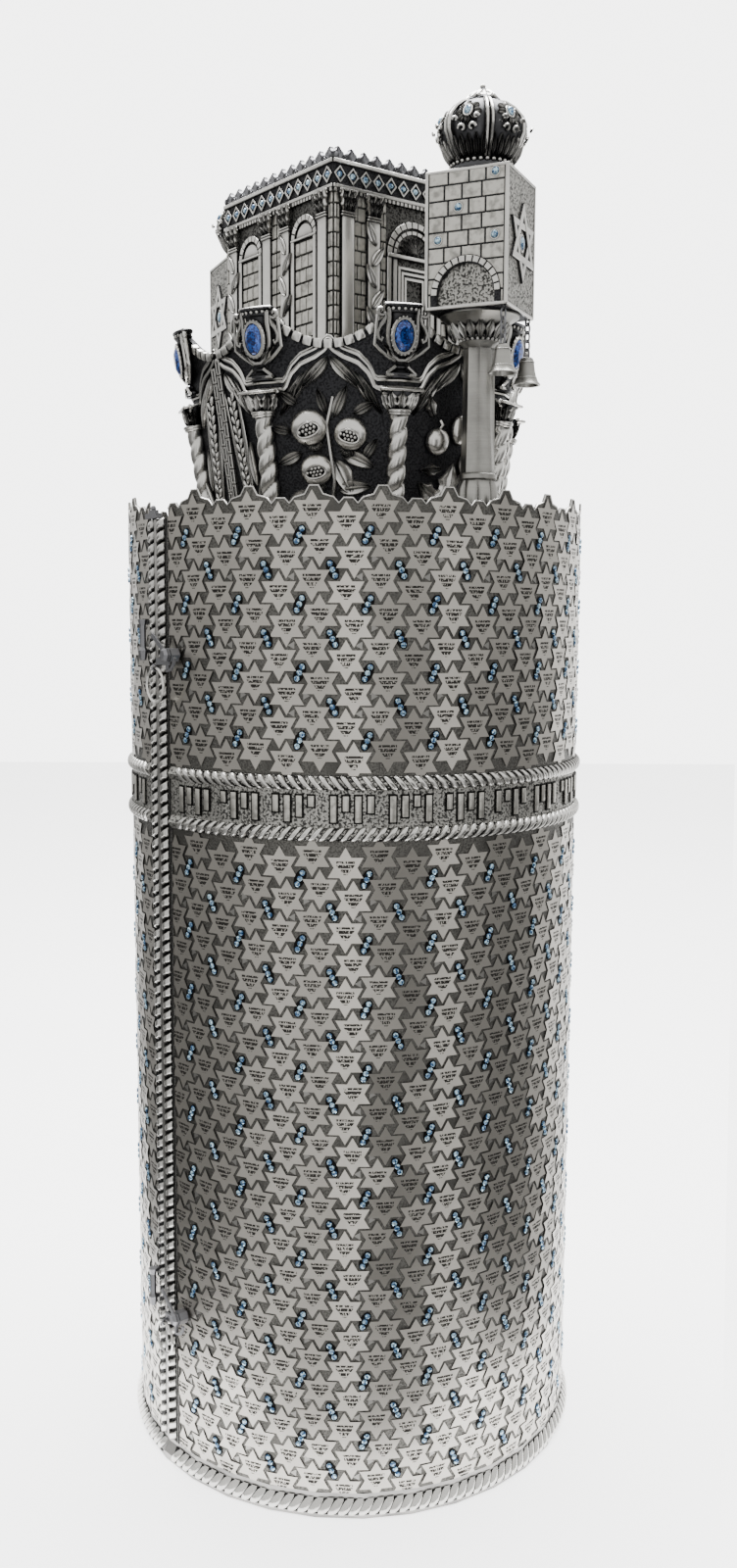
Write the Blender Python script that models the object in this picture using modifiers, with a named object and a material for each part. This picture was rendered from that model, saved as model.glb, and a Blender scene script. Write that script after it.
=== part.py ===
"""Torah case: a round case in two hinged halves, with a coronet, a building and two finials on top.

Metres, +Z up. The origin is at the centre of the underside. The seam faces -Y, the hinge is at +Y.
An azimuth is an angle about Z, measured from -Y (the front seam) towards +X (the right half).
"""

import math
from dataclasses import dataclass

import bmesh
import bpy
from mathutils import Matrix, Vector

# Clearances
GAP = 0.0003
WELD = 0.000001
SEAM_GAP = 0.0003
RUNNING_GAP = 0.0004

# Case body
CASE_RADIUS = 0.1500
SHEET_THICKNESS = 0.0015
CASE_WALL = 0.0060
FLOOR_THICKNESS = 0.0080
LID_THICKNESS = 0.0050
LID_TOP = 0.6050
CASE_STEPS = 32

# Rings round the body
BASE_HEIGHT = 0.0150
BASE_REACH = 0.0036
BAND_BOTTOM = 0.4218
BAND_HEIGHT = 0.0380
BAND_ROPE = 0.0082
BAND_REACH = 0.0026

# Star sheets: the columns of stars are STAR_PITCH apart, every other one is lower
STAR_COUNT = 48
STAR_TIP = 0.6250
STAR_LOW_TIP = 0.6181
STAR_VALLEY = 0.6152
VALLEY_SHARE = 0.73
SLIVER = math.radians(0.3)

# Front strips at the seam
STRIP_TOP = 0.6093
STRIP_DEPTH = 0.0050
BAR_WIDTH = 0.0028
RIGHT_ROPE_RADIUS = 0.0036
LEFT_ROPE_RADIUS = 0.0033
EDGE_BEAD_RADIUS = 0.0010
STRIP_GROOVE = 0.0004

# Back hinge
KNUCKLE_RADIUS = 0.0045
KNUCKLE_COUNT = 3
PIN_RADIUS = 0.0022
LEAF_WIDTH = 0.0135
HINGE_MARGIN = 0.0020

# Latches
LATCH_HEIGHTS = {"upper": 0.528, "lower": 0.108}
PIVOT_OFFSET = 0.0220
PIVOT_RADIUS = 0.0016
BOSS_RADIUS = 0.0046
LEVER_THICKNESS = 0.0012
LEVER_WIDTH = 0.0026
LEVER_RUN = 0.0180
LEVER_RISE = 0.0120
THUMB_RADIUS = 0.0098
RING_RADIUS = 0.0105
RING_WIRE = 0.0009
RING_OFFSET = 0.0080
RING_DROP = 0.0080
STAPLE_WIRE = 0.0007
POST_OFFSET = 0.0096
POST_RADIUS = 0.0019
POST_HEIGHT = 0.0250
COLLAR_RADIUS = 0.0031

# Coronet
CORONET_FOOT_RADIUS = 0.0939
CORONET_FLARE = 0.16
CORONET_WALL = 0.0030
BAY = math.radians(45)
OCTAGON_SHARE = 0.5
GARLAND_LOW = 0.7115
GARLAND_HIGH = 0.7215
GARLAND_HALF_ANGLE = math.radians(14.8)
GARLAND_RADIUS = 0.0026
CREST_TOP = 0.7310
MOULDING_LOW = 0.6850
MOULDING_PEAK = 0.7090
MOULDING_FLAT = math.radians(7.7)
MOULDING_RADIUS = 0.0026
TWIST_RADIUS = 0.0054
TWIST_TOP = 0.6720
TWIST_FOOT = 0.6062
CAPITAL_RADIUS = 0.0130
VASE_FOOT = 0.6910
VASE_HEIGHT = 0.0410
VASE_RADIUS = 0.0105
VASE_DEPTH_SHARE = 0.55
HANDLE_RADIUS = 0.0014
RELIEF_ROOT = 0.0022
LEAF_RISE = 0.0020
BIG_FRUIT = 0.0060
GEM_HALF_WIDTH = 0.0060
GEM_HALF_HEIGHT = 0.0090
GEM_DEPTH = 0.0036
GEM_SHARE = 0.55

# Central building
BUILDING_HALF_X = 0.0600
BUILDING_HALF_Y = 0.0610
FRIEZE_BOTTOM = 0.8035
FRIEZE_TOP = 0.8200
FRIEZE_PROUD = 0.0014
MERLON_HEIGHT = 0.0080
MERLON_THICKNESS = 0.0025
MERLONS_PER_HALF_FACE = 6
PILASTER_WIDTH = 0.0090
PILASTER_PROUD = 0.0022
CAPITAL_HEIGHT = 0.0130
CAPITAL_HEAD = 1.35
WINDOW_RADIUS = 0.0135
DOOR_RADIUS = 0.0215
ARCH_WIDTH = 0.0030
WINDOW_SPRING = 0.7810
DOOR_SPRING = 0.7720
DOOR_FOOT = 0.7000

# Finial towers: radii of the column's profile from its head down, and how far below the head they lie
RIGHT_FINIAL_X = 0.1230
LEFT_FINIAL_X = -0.1260
COLUMN_HEAD_RADIUS = 0.0235
COLUMN_NECK_RADIUS = 0.0118
COLUMN_SHAFT_RADIUS = 0.0090
COLUMN_FOOT_RADIUS = 0.0135
COLUMN_HEAD_DEPTH = 0.0110
COLUMN_NECK_DEPTH = 0.0200
COLUMN_FOOT_HEIGHT = 0.0290
TOWER_SIDE = 0.0495
TOWER_BOTTOM = 0.7275
TOWER_TOP = 0.8043
COLUMN_SIDES = 8
NICHE_HALF_WIDTH = 0.0175
NICHE_SPRING = 0.0076
NICHE_DEPTH = 0.0030
STAR_RADIUS = 0.0225
STAR_NOTCH = 0.56
STAR_BAR = 0.0030
STAR_PROUD = 0.0014
DOME_RADIUS = 0.0255
DOME_HEIGHT = 0.0525
DOME_RIBS = 6
RIB_SHARE = 1.05

# Bells
BELL_RADIUS = 0.0084
BELL_HEIGHT = 0.0165
BELL_WALL = 0.0010
BELL_DROP = 0.0215
BELL_INSET = 0.0035
LINK_WIRE = 0.0007
LINK_HALF_WIDTH = 0.0024

# Derived places
SHELL_RADIUS = CASE_RADIUS - SHEET_THICKNESS - GAP
SKIN_RADIUS = SHELL_RADIUS + GAP
BAND_TOP = BAND_BOTTOM + BAND_HEIGHT
ON_LID = LID_TOP + GAP
HINGE_Y = CASE_RADIUS + GAP + KNUCKLE_RADIUS
REACH = HINGE_Y + KNUCKLE_RADIUS
RIGHT_ROPE_X = SEAM_GAP / 2 + BAR_WIDTH + STRIP_GROOVE + RIGHT_ROPE_RADIUS
RIGHT_BEAD_X = RIGHT_ROPE_X + RIGHT_ROPE_RADIUS + STRIP_GROOVE + EDGE_BEAD_RADIUS
RIGHT_STRIP_WIDTH = RIGHT_BEAD_X + EDGE_BEAD_RADIUS
LEFT_ROPE_X = SEAM_GAP / 2 + STRIP_GROOVE + LEFT_ROPE_RADIUS
LEFT_BEAD_X = LEFT_ROPE_X + LEFT_ROPE_RADIUS + STRIP_GROOVE + EDGE_BEAD_RADIUS
LEFT_STRIP_WIDTH = LEFT_BEAD_X + EDGE_BEAD_RADIUS
ROPE_CREST_Y = -(SKIN_RADIUS + STRIP_DEPTH)
LEVER_BACK_Y = ROPE_CREST_Y - GAP - 0.0013 - GAP
STAR_STEP = 2 * math.pi / STAR_COUNT
GEM_HEIGHT = VASE_FOOT + VASE_HEIGHT * GEM_SHARE
TOWER_HALF = TOWER_SIDE / 2


@dataclass(frozen=True)
class Finial:
    """Where a finial stands, how far it is turned, its faces with a niche and its bell corners."""

    label: str
    centre_x: float
    turn: float
    niche_quarters: int
    bell_corners: tuple

    @property
    def place(self):
        """The finial's own frame: its axis is Z, and X and Y lie along the sides of its box."""
        return Matrix.Translation((self.centre_x, 0, 0)) @ Matrix.Rotation(self.turn, 4, "Z")


FINIALS = (
    Finial("right", RIGHT_FINIAL_X, math.radians(28.5), 0, (0, 1)),
    Finial("left", LEFT_FINIAL_X, math.radians(-14.5), 1, (2, 3)),
)

SILVER = ((0.56, 0.55, 0.53), 1.0, 0.34)
DARK_SILVER = ((0.24, 0.24, 0.25), 1.0, 0.45)
BLUE_STONE = ((0.16, 0.36, 0.72), 0.0, 0.08)


def around(radius, azimuth, z):
    """The point at a radius, an azimuth and a height."""
    return Vector((radius * math.sin(azimuth), -radius * math.cos(azimuth), z))


def new_material(name, look):
    """A Principled material from a colour, a metallic value and a roughness."""
    colour, metallic, roughness = look
    material = bpy.data.materials.new(name)
    material.use_nodes = True
    shader = material.node_tree.nodes["Principled BSDF"]
    shader.inputs["Base Color"].default_value = (*colour, 1)
    shader.inputs["Metallic"].default_value = metallic
    shader.inputs["Roughness"].default_value = roughness
    return material


def new_group(name):
    """A collection linked to the scene."""
    group = bpy.data.collections.new(name)
    bpy.context.scene.collection.children.link(group)
    return group


def new_object(name, mesh):
    """An object of a mesh, in the part's collection."""
    shape = bpy.data.objects.new(name, mesh)
    PART.objects.link(shape)
    return shape


def from_bmesh(name, bm):
    """An object of a bmesh, its doubles merged and its faces pointing out."""
    bmesh.ops.remove_doubles(bm, verts=bm.verts, dist=WELD)
    bmesh.ops.recalc_face_normals(bm, faces=bm.faces)
    mesh = bpy.data.meshes.new(name)
    bm.to_mesh(mesh)
    bm.free()
    return new_object(name, mesh)


def as_mesh(shape):
    """Turns a curve, or a mesh with modifiers, into a plain closed mesh in world space."""
    graph = bpy.context.evaluated_depsgraph_get()
    mesh = bpy.data.meshes.new_from_object(shape.evaluated_get(graph))
    mesh.transform(shape.matrix_world)
    bm = bmesh.new()
    bm.from_mesh(mesh)
    bpy.data.meshes.remove(mesh)
    name = shape.name
    bpy.data.objects.remove(shape)
    return from_bmesh(name, bm)


def placed(shape, matrix):
    """Moves a shape's mesh by a matrix."""
    shape.data.transform(matrix)
    if matrix.determinant() < 0:
        shape.data.flip_normals()
    return shape


def combined(base, other, operation):
    """The exact Boolean of two solids. The second one is used up."""
    step = base.modifiers.new("combine", "BOOLEAN")
    step.operation = operation
    step.solver = "EXACT"
    step.object = other
    result = as_mesh(base)
    bpy.data.objects.remove(other)
    return result


def fused(base, extras):
    """One solid made of a base and what is cast onto it."""
    for extra in extras:
        base = combined(base, extra, "UNION")
    return base


def carved(base, cutters):
    """A solid with the cutters taken out of it."""
    for cutter in cutters:
        CUTTERS.objects.link(cutter)
        PART.objects.unlink(cutter)
        cutter.display_type = "WIRE"
        cutter.hide_render = True
        base = combined(base, cutter, "DIFFERENCE")
    return base


def dressed(shape, name, material):
    """Names a finished piece, gives it its material and smooths its round faces."""
    shape.name = name
    shape.data.name = name
    shape.data.materials.clear()
    shape.data.materials.append(material)
    shape.data.shade_smooth()
    shape.data.set_sharp_from_angle(angle=math.radians(30))
    return shape


def block(low, high):
    """A box between two corners."""
    low, high = Vector(low), Vector(high)
    bm = bmesh.new()
    size = Matrix.Diagonal((*(high - low), 1))
    bmesh.ops.create_cube(bm, size=1, matrix=Matrix.Translation((low + high) / 2) @ size)
    return from_bmesh("block", bm)


def turned(profile, steps, first=0.0):
    """A turned solid: (radius, z) points down the outer side, from axis to axis or as a closed ring."""
    closed = profile[0][0] > WELD
    bm = bmesh.new()
    verts = [bm.verts.new((radius, 0, z)) for radius, z in profile]
    for a, b in zip(verts, verts[1:]):
        bm.edges.new((a, b))
    if closed:
        bm.edges.new((verts[-1], verts[0]))
    mesh = bpy.data.meshes.new("turned")
    bm.to_mesh(mesh)
    bm.free()
    shape = new_object("turned", mesh)
    screw = shape.modifiers.new("turn", "SCREW")
    screw.axis = "Z"
    screw.steps = steps
    screw.render_steps = steps
    screw.use_merge_vertices = True
    screw.merge_threshold = WELD
    return placed(as_mesh(shape), Matrix.Rotation(first, 4, "Z"))


def curved_sheet(azimuths, low, high, surface, thickness):
    """A wall of one thickness inside a surface, between two edges given as heights by azimuth."""
    count = len(azimuths) - 1
    bm = bmesh.new()
    bmesh.ops.create_grid(bm, x_segments=count, y_segments=1, size=0.5)
    for vert in bm.verts:
        azimuth = azimuths[round((vert.co.x + 0.5) * count)]
        z = high(azimuth) if vert.co.y > 0 else low(azimuth)
        vert.co = surface(azimuth, z)
    mesh = bpy.data.meshes.new("sheet")
    bm.to_mesh(mesh)
    bm.free()
    shape = new_object("sheet", mesh)
    solid = shape.modifiers.new("thickness", "SOLIDIFY")
    solid.thickness = thickness
    solid.offset = -1
    return as_mesh(shape)


def tube(points, radius, resolution=0, cyclic=False):
    """A round bar along points, with welded end caps."""
    curve = bpy.data.curves.new("tube", "CURVE")
    curve.dimensions = "3D"
    curve.bevel_depth = radius
    curve.bevel_resolution = resolution
    curve.use_fill_caps = not cyclic
    spline = curve.splines.new("POLY")
    spline.points.add(len(points) - 1)
    for place, point in zip(spline.points, points):
        place.co = (*point, 1)
    spline.use_cyclic_u = cyclic
    return as_mesh(new_object("tube", curve))


def plate(outlines, thickness):
    """A flat plate of closed outlines in XY, centred on z = 0. An outline inside another is a hole."""
    curve = bpy.data.curves.new("plate", "CURVE")
    curve.dimensions = "2D"
    curve.fill_mode = "BOTH"
    curve.extrude = thickness / 2
    for outline in outlines:
        spline = curve.splines.new("POLY")
        spline.points.add(len(outline) - 1)
        for place, (x, y) in zip(spline.points, outline):
            place.co = (x, y, 0, 1)
        spline.use_cyclic_u = True
    return as_mesh(new_object("plate", curve))


def arc(centre, radius, start, end, count):
    """Points along an arc in the plane, angles in radians."""
    steps = [start + (end - start) * i / count for i in range(count + 1)]
    return [(centre[0] + radius * math.cos(a), centre[1] + radius * math.sin(a)) for a in steps]


def ribbon(path, width):
    """The outline of a flat strip of one width along a path in the plane."""
    left, right = [], []
    for i, point in enumerate(path):
        before, after = Vector(path[max(i - 1, 0)]), Vector(path[min(i + 1, len(path) - 1)])
        along = (after - before).normalized()
        side = Vector((-along.y, along.x)) * width / 2
        left.append(tuple(Vector(point) + side))
        right.append(tuple(Vector(point) - side))
    return left + right[::-1]


def ball(centre, radii, segments, rings):
    """An ellipsoid, its poles along Z."""
    bm = bmesh.new()
    matrix = Matrix.Translation(centre) @ Matrix.Diagonal((*radii, 1))
    bmesh.ops.create_uvsphere(bm, u_segments=segments, v_segments=rings, radius=1, matrix=matrix)
    return from_bmesh("ball", bm)


def facing_front(x, y, z):
    """A frame whose X runs right, Y up and Z out of the front, at a point."""
    return Matrix.Translation((x, y, z)) @ Matrix.Rotation(math.radians(90), 4, "X")


def half_space(side):
    """A cutter for all that lies beyond the seam from the half on that side."""
    edge = side * SEAM_GAP / 2
    return block((min(edge, -side), -1, -1), (max(edge, -side), 1, 2))


def half_azimuths(side, front, back, step):
    """Azimuths of one half, from its front edge to its back edge, with the steps of a full circle."""
    first, last = math.asin(front / CASE_RADIUS), math.pi - math.asin(back / CASE_RADIUS)
    count = round(math.pi / step)
    inside = [k * step for k in range(1, count) if first < k * step < last]
    azimuths = [first, *inside, last]
    return azimuths if side > 0 else [-a for a in reversed(azimuths)]


def build_shell(side, name):
    """Half of the case wall, with half of the floor and of the top disc."""
    steps = CASE_STEPS
    body = turned([(0, LID_TOP), (SHELL_RADIUS, LID_TOP), (SHELL_RADIUS, 0), (0, 0)], steps)
    inner = SHELL_RADIUS - CASE_WALL
    roof = LID_TOP - LID_THICKNESS
    cavity = turned([(0, roof), (inner, roof), (inner, FLOOR_THICKNESS), (0, FLOOR_THICKNESS)], steps)
    return dressed(carved(body, [half_space(side), cavity]), name, MATERIALS["case_silver"])


def tip_height(azimuth):
    """Height of the scalloped edge, which follows the tips of the top row of stars."""
    away = abs((azimuth / STAR_STEP + 1) % 2 - 1)
    if away < VALLEY_SHARE:
        return STAR_TIP + (STAR_VALLEY - STAR_TIP) * away / VALLEY_SHARE
    return STAR_VALLEY + (STAR_LOW_TIP - STAR_VALLEY) * (away - VALLEY_SHARE) / (1 - VALLEY_SHARE)


def edge_marks():
    """Azimuths of the tips and valleys of the scalloped edge, all round."""
    columns = range(-STAR_COUNT // 2, STAR_COUNT // 2 + 1, 2)
    away = (-VALLEY_SHARE, 0, VALLEY_SHARE, 1)
    return [(column + share) * STAR_STEP for column in columns for share in away]


def strip_width(side):
    """How far the front strip of one half reaches from the seam."""
    return RIGHT_STRIP_WIDTH if side > 0 else LEFT_STRIP_WIDTH


def on_skin(azimuth, z):
    """A point on the outer face of the star sheets."""
    return around(CASE_RADIUS, azimuth, z)


def build_star_sheets(side, label):
    """The plain lower star sheet and the upper one with its scalloped edge."""
    front, back = strip_width(side) + GAP, LEAF_WIDTH + GAP
    coarse = half_azimuths(side, front, back, 2 * math.pi / CASE_STEPS)
    low_from, low_to = BASE_HEIGHT + GAP, BAND_BOTTOM - GAP
    lower = curved_sheet(coarse, lambda a: low_from, lambda a: low_to, on_skin, SHEET_THICKNESS)
    dressed(lower, f"{label}_lower_star_sheet", MATERIALS["star_silver"])
    ends = half_azimuths(side, front, back, 2 * math.pi)
    inside = [a for a in edge_marks() if ends[0] + SLIVER < a < ends[-1] - SLIVER]
    upper_from = BAND_TOP + GAP
    upper = curved_sheet(
        [ends[0], *inside, ends[-1]], lambda a: upper_from, tip_height, on_skin, SHEET_THICKNESS
    )
    dressed(upper, f"{label}_upper_star_sheet", MATERIALS["star_silver"])


def build_rings(side, label):
    """The text band between its two ropes, and the rope round the base."""
    step = 2 * math.pi / CASE_STEPS
    ground = SKIN_RADIUS + SHEET_THICKNESS
    crest = CASE_RADIUS + BAND_REACH
    low, top = BAND_BOTTOM, BAND_TOP
    band_section = [
        (SKIN_RADIUS, low),
        (ground, low),
        (crest, low + BAND_ROPE / 2),
        (ground, low + BAND_ROPE),
        (ground, top - BAND_ROPE),
        (crest, top - BAND_ROPE / 2),
        (ground, top),
        (SKIN_RADIUS, top),
    ]
    base_section = [
        (SKIN_RADIUS, 0),
        (CASE_RADIUS + BASE_REACH * 0.7, 0),
        (CASE_RADIUS + BASE_REACH, BASE_HEIGHT * 0.38),
        (ground, BASE_HEIGHT * 0.80),
        (ground, BASE_HEIGHT),
        (SKIN_RADIUS, BASE_HEIGHT),
    ]
    band_angles = half_azimuths(side, strip_width(side) + GAP, LEAF_WIDTH + GAP, step)
    base_angles = half_azimuths(side, SEAM_GAP / 2, SEAM_GAP / 2, step)
    for section, angles, name in (
        (band_section, band_angles, "text_band"),
        (base_section, base_angles, "base_rope"),
    ):
        ring = swept_along(section, angles)
        dressed(ring, f"{label}_{name}", MATERIALS["case_silver"])


def swept_along(section, azimuths):
    """A closed (radius, z) section swept about Z through uneven azimuths."""
    bm = bmesh.new()
    verts = [bm.verts.new(around(radius, azimuths[0], z)) for radius, z in section]
    edge_ring = bm.faces.new(verts)
    face = edge_ring
    for before, after in zip(azimuths, azimuths[1:]):
        grown = bmesh.ops.extrude_face_region(bm, geom=[face], use_keep_orig=before == azimuths[0])
        moved = [g for g in grown["geom"] if isinstance(g, bmesh.types.BMVert)]
        turn = Matrix.Rotation(after - before, 3, "Z")
        bmesh.ops.rotate(bm, verts=moved, cent=(0, 0, 0), matrix=turn)
        if before != azimuths[0]:
            bmesh.ops.delete(bm, geom=[face], context="FACES_ONLY")
        face = next(g for g in grown["geom"] if isinstance(g, bmesh.types.BMFace))
    return from_bmesh("swept", bm)


def build_strip(side, label):
    """The vertical strip beside the seam: cover bar on the right, rope and edge bead on both."""
    rope_x = RIGHT_ROPE_X if side > 0 else LEFT_ROPE_X
    rope_radius = RIGHT_ROPE_RADIUS if side > 0 else LEFT_ROPE_RADIUS
    bead_x = RIGHT_BEAD_X if side > 0 else LEFT_BEAD_X
    width = strip_width(side)
    foot = SKIN_RADIUS + STRIP_DEPTH - rope_radius
    inner_edge = math.sqrt(SKIN_RADIUS**2 - width**2)
    outline = [(SEAM_GAP / 2, SKIN_RADIUS), (SEAM_GAP / 2, foot)]
    if side > 0:
        bar = SKIN_RADIUS + STRIP_DEPTH * 0.66
        outline = [(SEAM_GAP / 2, SKIN_RADIUS), (SEAM_GAP / 2, bar), (SEAM_GAP / 2 + BAR_WIDTH, bar)]
        outline.append((SEAM_GAP / 2 + BAR_WIDTH, foot))
    outline += arc((rope_x, foot), rope_radius, math.pi, 0, 5)
    bead_foot = inner_edge + 0.0012
    outline += arc((bead_x, bead_foot), EDGE_BEAD_RADIUS, math.pi, 0, 2)
    outline.append((width, inner_edge))
    low, high = BASE_HEIGHT + GAP, STRIP_TOP
    flat = plate([[(side * x, -y) for x, y in outline]], high - low)
    placed(flat, Matrix.Translation((0, 0, (low + high) / 2)))
    dressed(flat, f"{label}_seam_strip", MATERIALS["case_silver"])


def build_hinge():
    """Two leaves with interleaved knuckles about an upright pin behind the case."""
    low, high = BASE_HEIGHT + HINGE_MARGIN, LID_TOP - HINGE_MARGIN
    pitch = (high - low + GAP) / KNUCKLE_COUNT
    bore = PIN_RADIUS + RUNNING_GAP
    centre = Matrix.Translation((0, HINGE_Y, 0))
    for side, label in ((1, "right"), (-1, "left")):
        edges = [math.asin(SEAM_GAP / 2 / CASE_RADIUS), math.asin(LEAF_WIDTH / CASE_RADIUS)]
        azimuths = sorted(math.pi - side * edge for edge in edges)
        leaf = curved_sheet(
            azimuths, lambda a: BASE_HEIGHT + GAP, lambda a: LID_TOP, on_skin, SHEET_THICKNESS
        )
        extras = []
        for k in range(0 if side > 0 else 1, KNUCKLE_COUNT, 2):
            foot = low + k * pitch
            head = foot + pitch - GAP
            ring = [(KNUCKLE_RADIUS, head), (KNUCKLE_RADIUS, foot), (bore, foot), (bore, head)]
            xs = sorted((side * KNUCKLE_RADIUS, side * (bore + RUNNING_GAP)))
            tongue = block((xs[0], CASE_RADIUS - SHEET_THICKNESS / 2, foot), (xs[1], HINGE_Y, head))
            extras += [tongue, placed(turned(ring, 8), centre)]
        dressed(fused(leaf, extras), f"{label}_hinge_leaf", MATERIALS["dark_silver"])
    pin = turned([(0, high), (PIN_RADIUS, high), (PIN_RADIUS, low), (0, low)], 8)
    dressed(placed(pin, centre), "hinge_pin", MATERIALS["dark_silver"])


def build_catch():
    """The small stepped catch that closes the tops of the two strips."""
    foot, back = STRIP_TOP + GAP, -SKIN_RADIUS
    step = block((-0.0080, back - 0.0046, foot), (0.0060, back - 0.0006, foot + 0.0030))
    upper = block((-0.0045, back - 0.0040, foot + 0.0025), (0.0030, back - 0.0012, foot + 0.0050))
    knob = ball((-0.0010, back - 0.0026, foot + 0.0060), (0.0020, 0.0020, 0.0020), 6, 4)
    dressed(fused(step, [upper, knob]), "top_catch", MATERIALS["dark_silver"])


def build_latch(label, height):
    """One latch: base with pivot and staple, turning lever, pull ring, and the post on the left half."""
    lever_front = LEVER_BACK_Y - LEVER_THICKNESS
    sheet_y = -math.sqrt(CASE_RADIUS**2 - (PIVOT_OFFSET - BOSS_RADIUS) ** 2)
    base_front = LEVER_BACK_Y + GAP
    along_y = facing_front(PIVOT_OFFSET, 0, height)
    boss_back = -sheet_y + GAP
    button = lever_front - GAP
    profile = [
        (0, REACH),
        (BOSS_RADIUS * 0.62, REACH),
        (BOSS_RADIUS, -button + 0.0007),
        (BOSS_RADIUS * 0.9, -button),
        (PIVOT_RADIUS, -button),
        (PIVOT_RADIUS, -base_front),
        (BOSS_RADIUS, -base_front),
        (BOSS_RADIUS, boss_back),
        (0, boss_back),
    ]
    base = placed(turned(profile, 6), along_y)
    bar_back = ROPE_CREST_Y - GAP
    bar = block(
        (RING_OFFSET - STAPLE_WIRE * 2, base_front, height - 0.0062),
        (PIVOT_OFFSET, bar_back, height - 0.0022),
    )
    staple_radius = RING_WIRE + RUNNING_GAP + STAPLE_WIRE
    ring_y = bar_back - staple_radius - STAPLE_WIRE
    ring_top = height - RING_DROP
    loop = [
        (RING_OFFSET, ring_y + staple_radius * math.cos(a), ring_top + staple_radius * math.sin(a))
        for a in [k * math.pi / 3 for k in range(6)]
    ]
    staple = tube(loop, STAPLE_WIRE, cyclic=True)
    dressed(fused(base, [bar, staple]), f"{label}_latch_base", MATERIALS["dark_silver"])
    circle = [
        (
            RING_OFFSET + RING_RADIUS * math.sin(a),
            ring_y,
            ring_top - RING_RADIUS + RING_RADIUS * math.cos(a),
        )
        for a in [k * math.pi / 6 for k in range(12)]
    ]
    dressed(tube(circle, RING_WIRE, cyclic=True), f"{label}_pull_ring", MATERIALS["case_silver"])
    eye = PIVOT_RADIUS + RUNNING_GAP
    rim = eye + LEVER_WIDTH / 2 + 0.0006
    hub = plate([arc((0, 0), r, 0, 5 * math.pi / 3, 5) for r in (rim, eye / math.cos(math.pi / 6))], 1)
    hub.data.transform(Matrix.Diagonal((1, 1, LEVER_THICKNESS, 1)))
    reach = Vector((-LEVER_RUN, LEVER_RISE))
    start = reach.normalized() * (eye + LEVER_WIDTH / 2)
    arm = plate([ribbon([tuple(start), tuple(reach)], LEVER_WIDTH)], LEVER_THICKNESS)
    curl = arc((0, 0), THUMB_RADIUS, math.radians(-88), math.radians(-8), 3)
    stem = (start.x * 0.1, -(eye + LEVER_WIDTH / 2))
    thumb = plate([ribbon([stem, *curl], LEVER_WIDTH * 0.7)], LEVER_THICKNESS)
    pivot = facing_front(PIVOT_OFFSET, (LEVER_BACK_Y + lever_front) / 2, height)
    lever = placed(fused(hub, [arm, thumb]), pivot)
    dressed(lever, f"{label}_latch_lever", MATERIALS["dark_silver"])
    foot = height - 0.0040
    post_y = ROPE_CREST_Y - 0.0016
    top = foot + POST_HEIGHT
    collars = [(0, top), (COLLAR_RADIUS, top), (POST_RADIUS, top - 0.004)]
    collars += [(POST_RADIUS, foot + 0.008), (COLLAR_RADIUS, foot + 0.006), (POST_RADIUS, foot), (0, foot)]
    post = placed(turned(collars, 6), Matrix.Translation((-POST_OFFSET, post_y, 0)))
    bead_front = -(math.sqrt(SKIN_RADIUS**2 - LEFT_STRIP_WIDTH**2) + 0.0012 + EDGE_BEAD_RADIUS + GAP)
    lugs = [
        block((-POST_OFFSET - 0.001, post_y, z), (-POST_OFFSET + 0.001, bead_front, z + 0.0025))
        for z in (foot + 0.0043, top - 0.0028)
    ]
    dressed(fused(post, lugs), f"{label}_latch_post", MATERIALS["dark_silver"])


def bay_offset(azimuth):
    """Signed angle from the middle of the nearest panel of the coronet."""
    return (azimuth + BAY / 2) % BAY - BAY / 2


def coronet_point(azimuth, z, out=0.0):
    """A point on the flaring, slightly eight-sided outer face of the coronet, or proud of it."""
    radius = CORONET_FOOT_RADIUS + CORONET_FLARE * (z - ON_LID)
    flat = math.cos(BAY / 2) / math.cos(bay_offset(azimuth))
    return around(radius * (1 - OCTAGON_SHARE + OCTAGON_SHARE * flat) + out, azimuth, z)


def coronet_frame(azimuth, z, out=0.0):
    """A frame on the coronet: X to the right, Y up the wall, Z out of it."""
    right = Vector((math.cos(azimuth), math.sin(azimuth), 0))
    outward = around(1, azimuth, 0)
    up = (Vector((0, 0, 1)) + outward * CORONET_FLARE).normalized()
    out_of_wall = right.cross(up)
    origin = coronet_point(azimuth, z) + out_of_wall * out
    rows = zip(right, up, out_of_wall, origin)
    return Matrix([*(list(row) for row in rows), [0, 0, 0, 1]])


def crest_height(azimuth):
    """Height of the coronet's wall: along the garlands, and behind the vases."""
    away = abs(bay_offset(azimuth))
    if away <= GARLAND_HALF_ANGLE:
        return GARLAND_LOW + (GARLAND_HIGH - GARLAND_LOW) * (away / GARLAND_HALF_ANGLE) ** 2
    share = (away - GARLAND_HALF_ANGLE) / (BAY / 2 - GARLAND_HALF_ANGLE)
    return GARLAND_HIGH + (CREST_TOP - GARLAND_HIGH) * share


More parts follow.
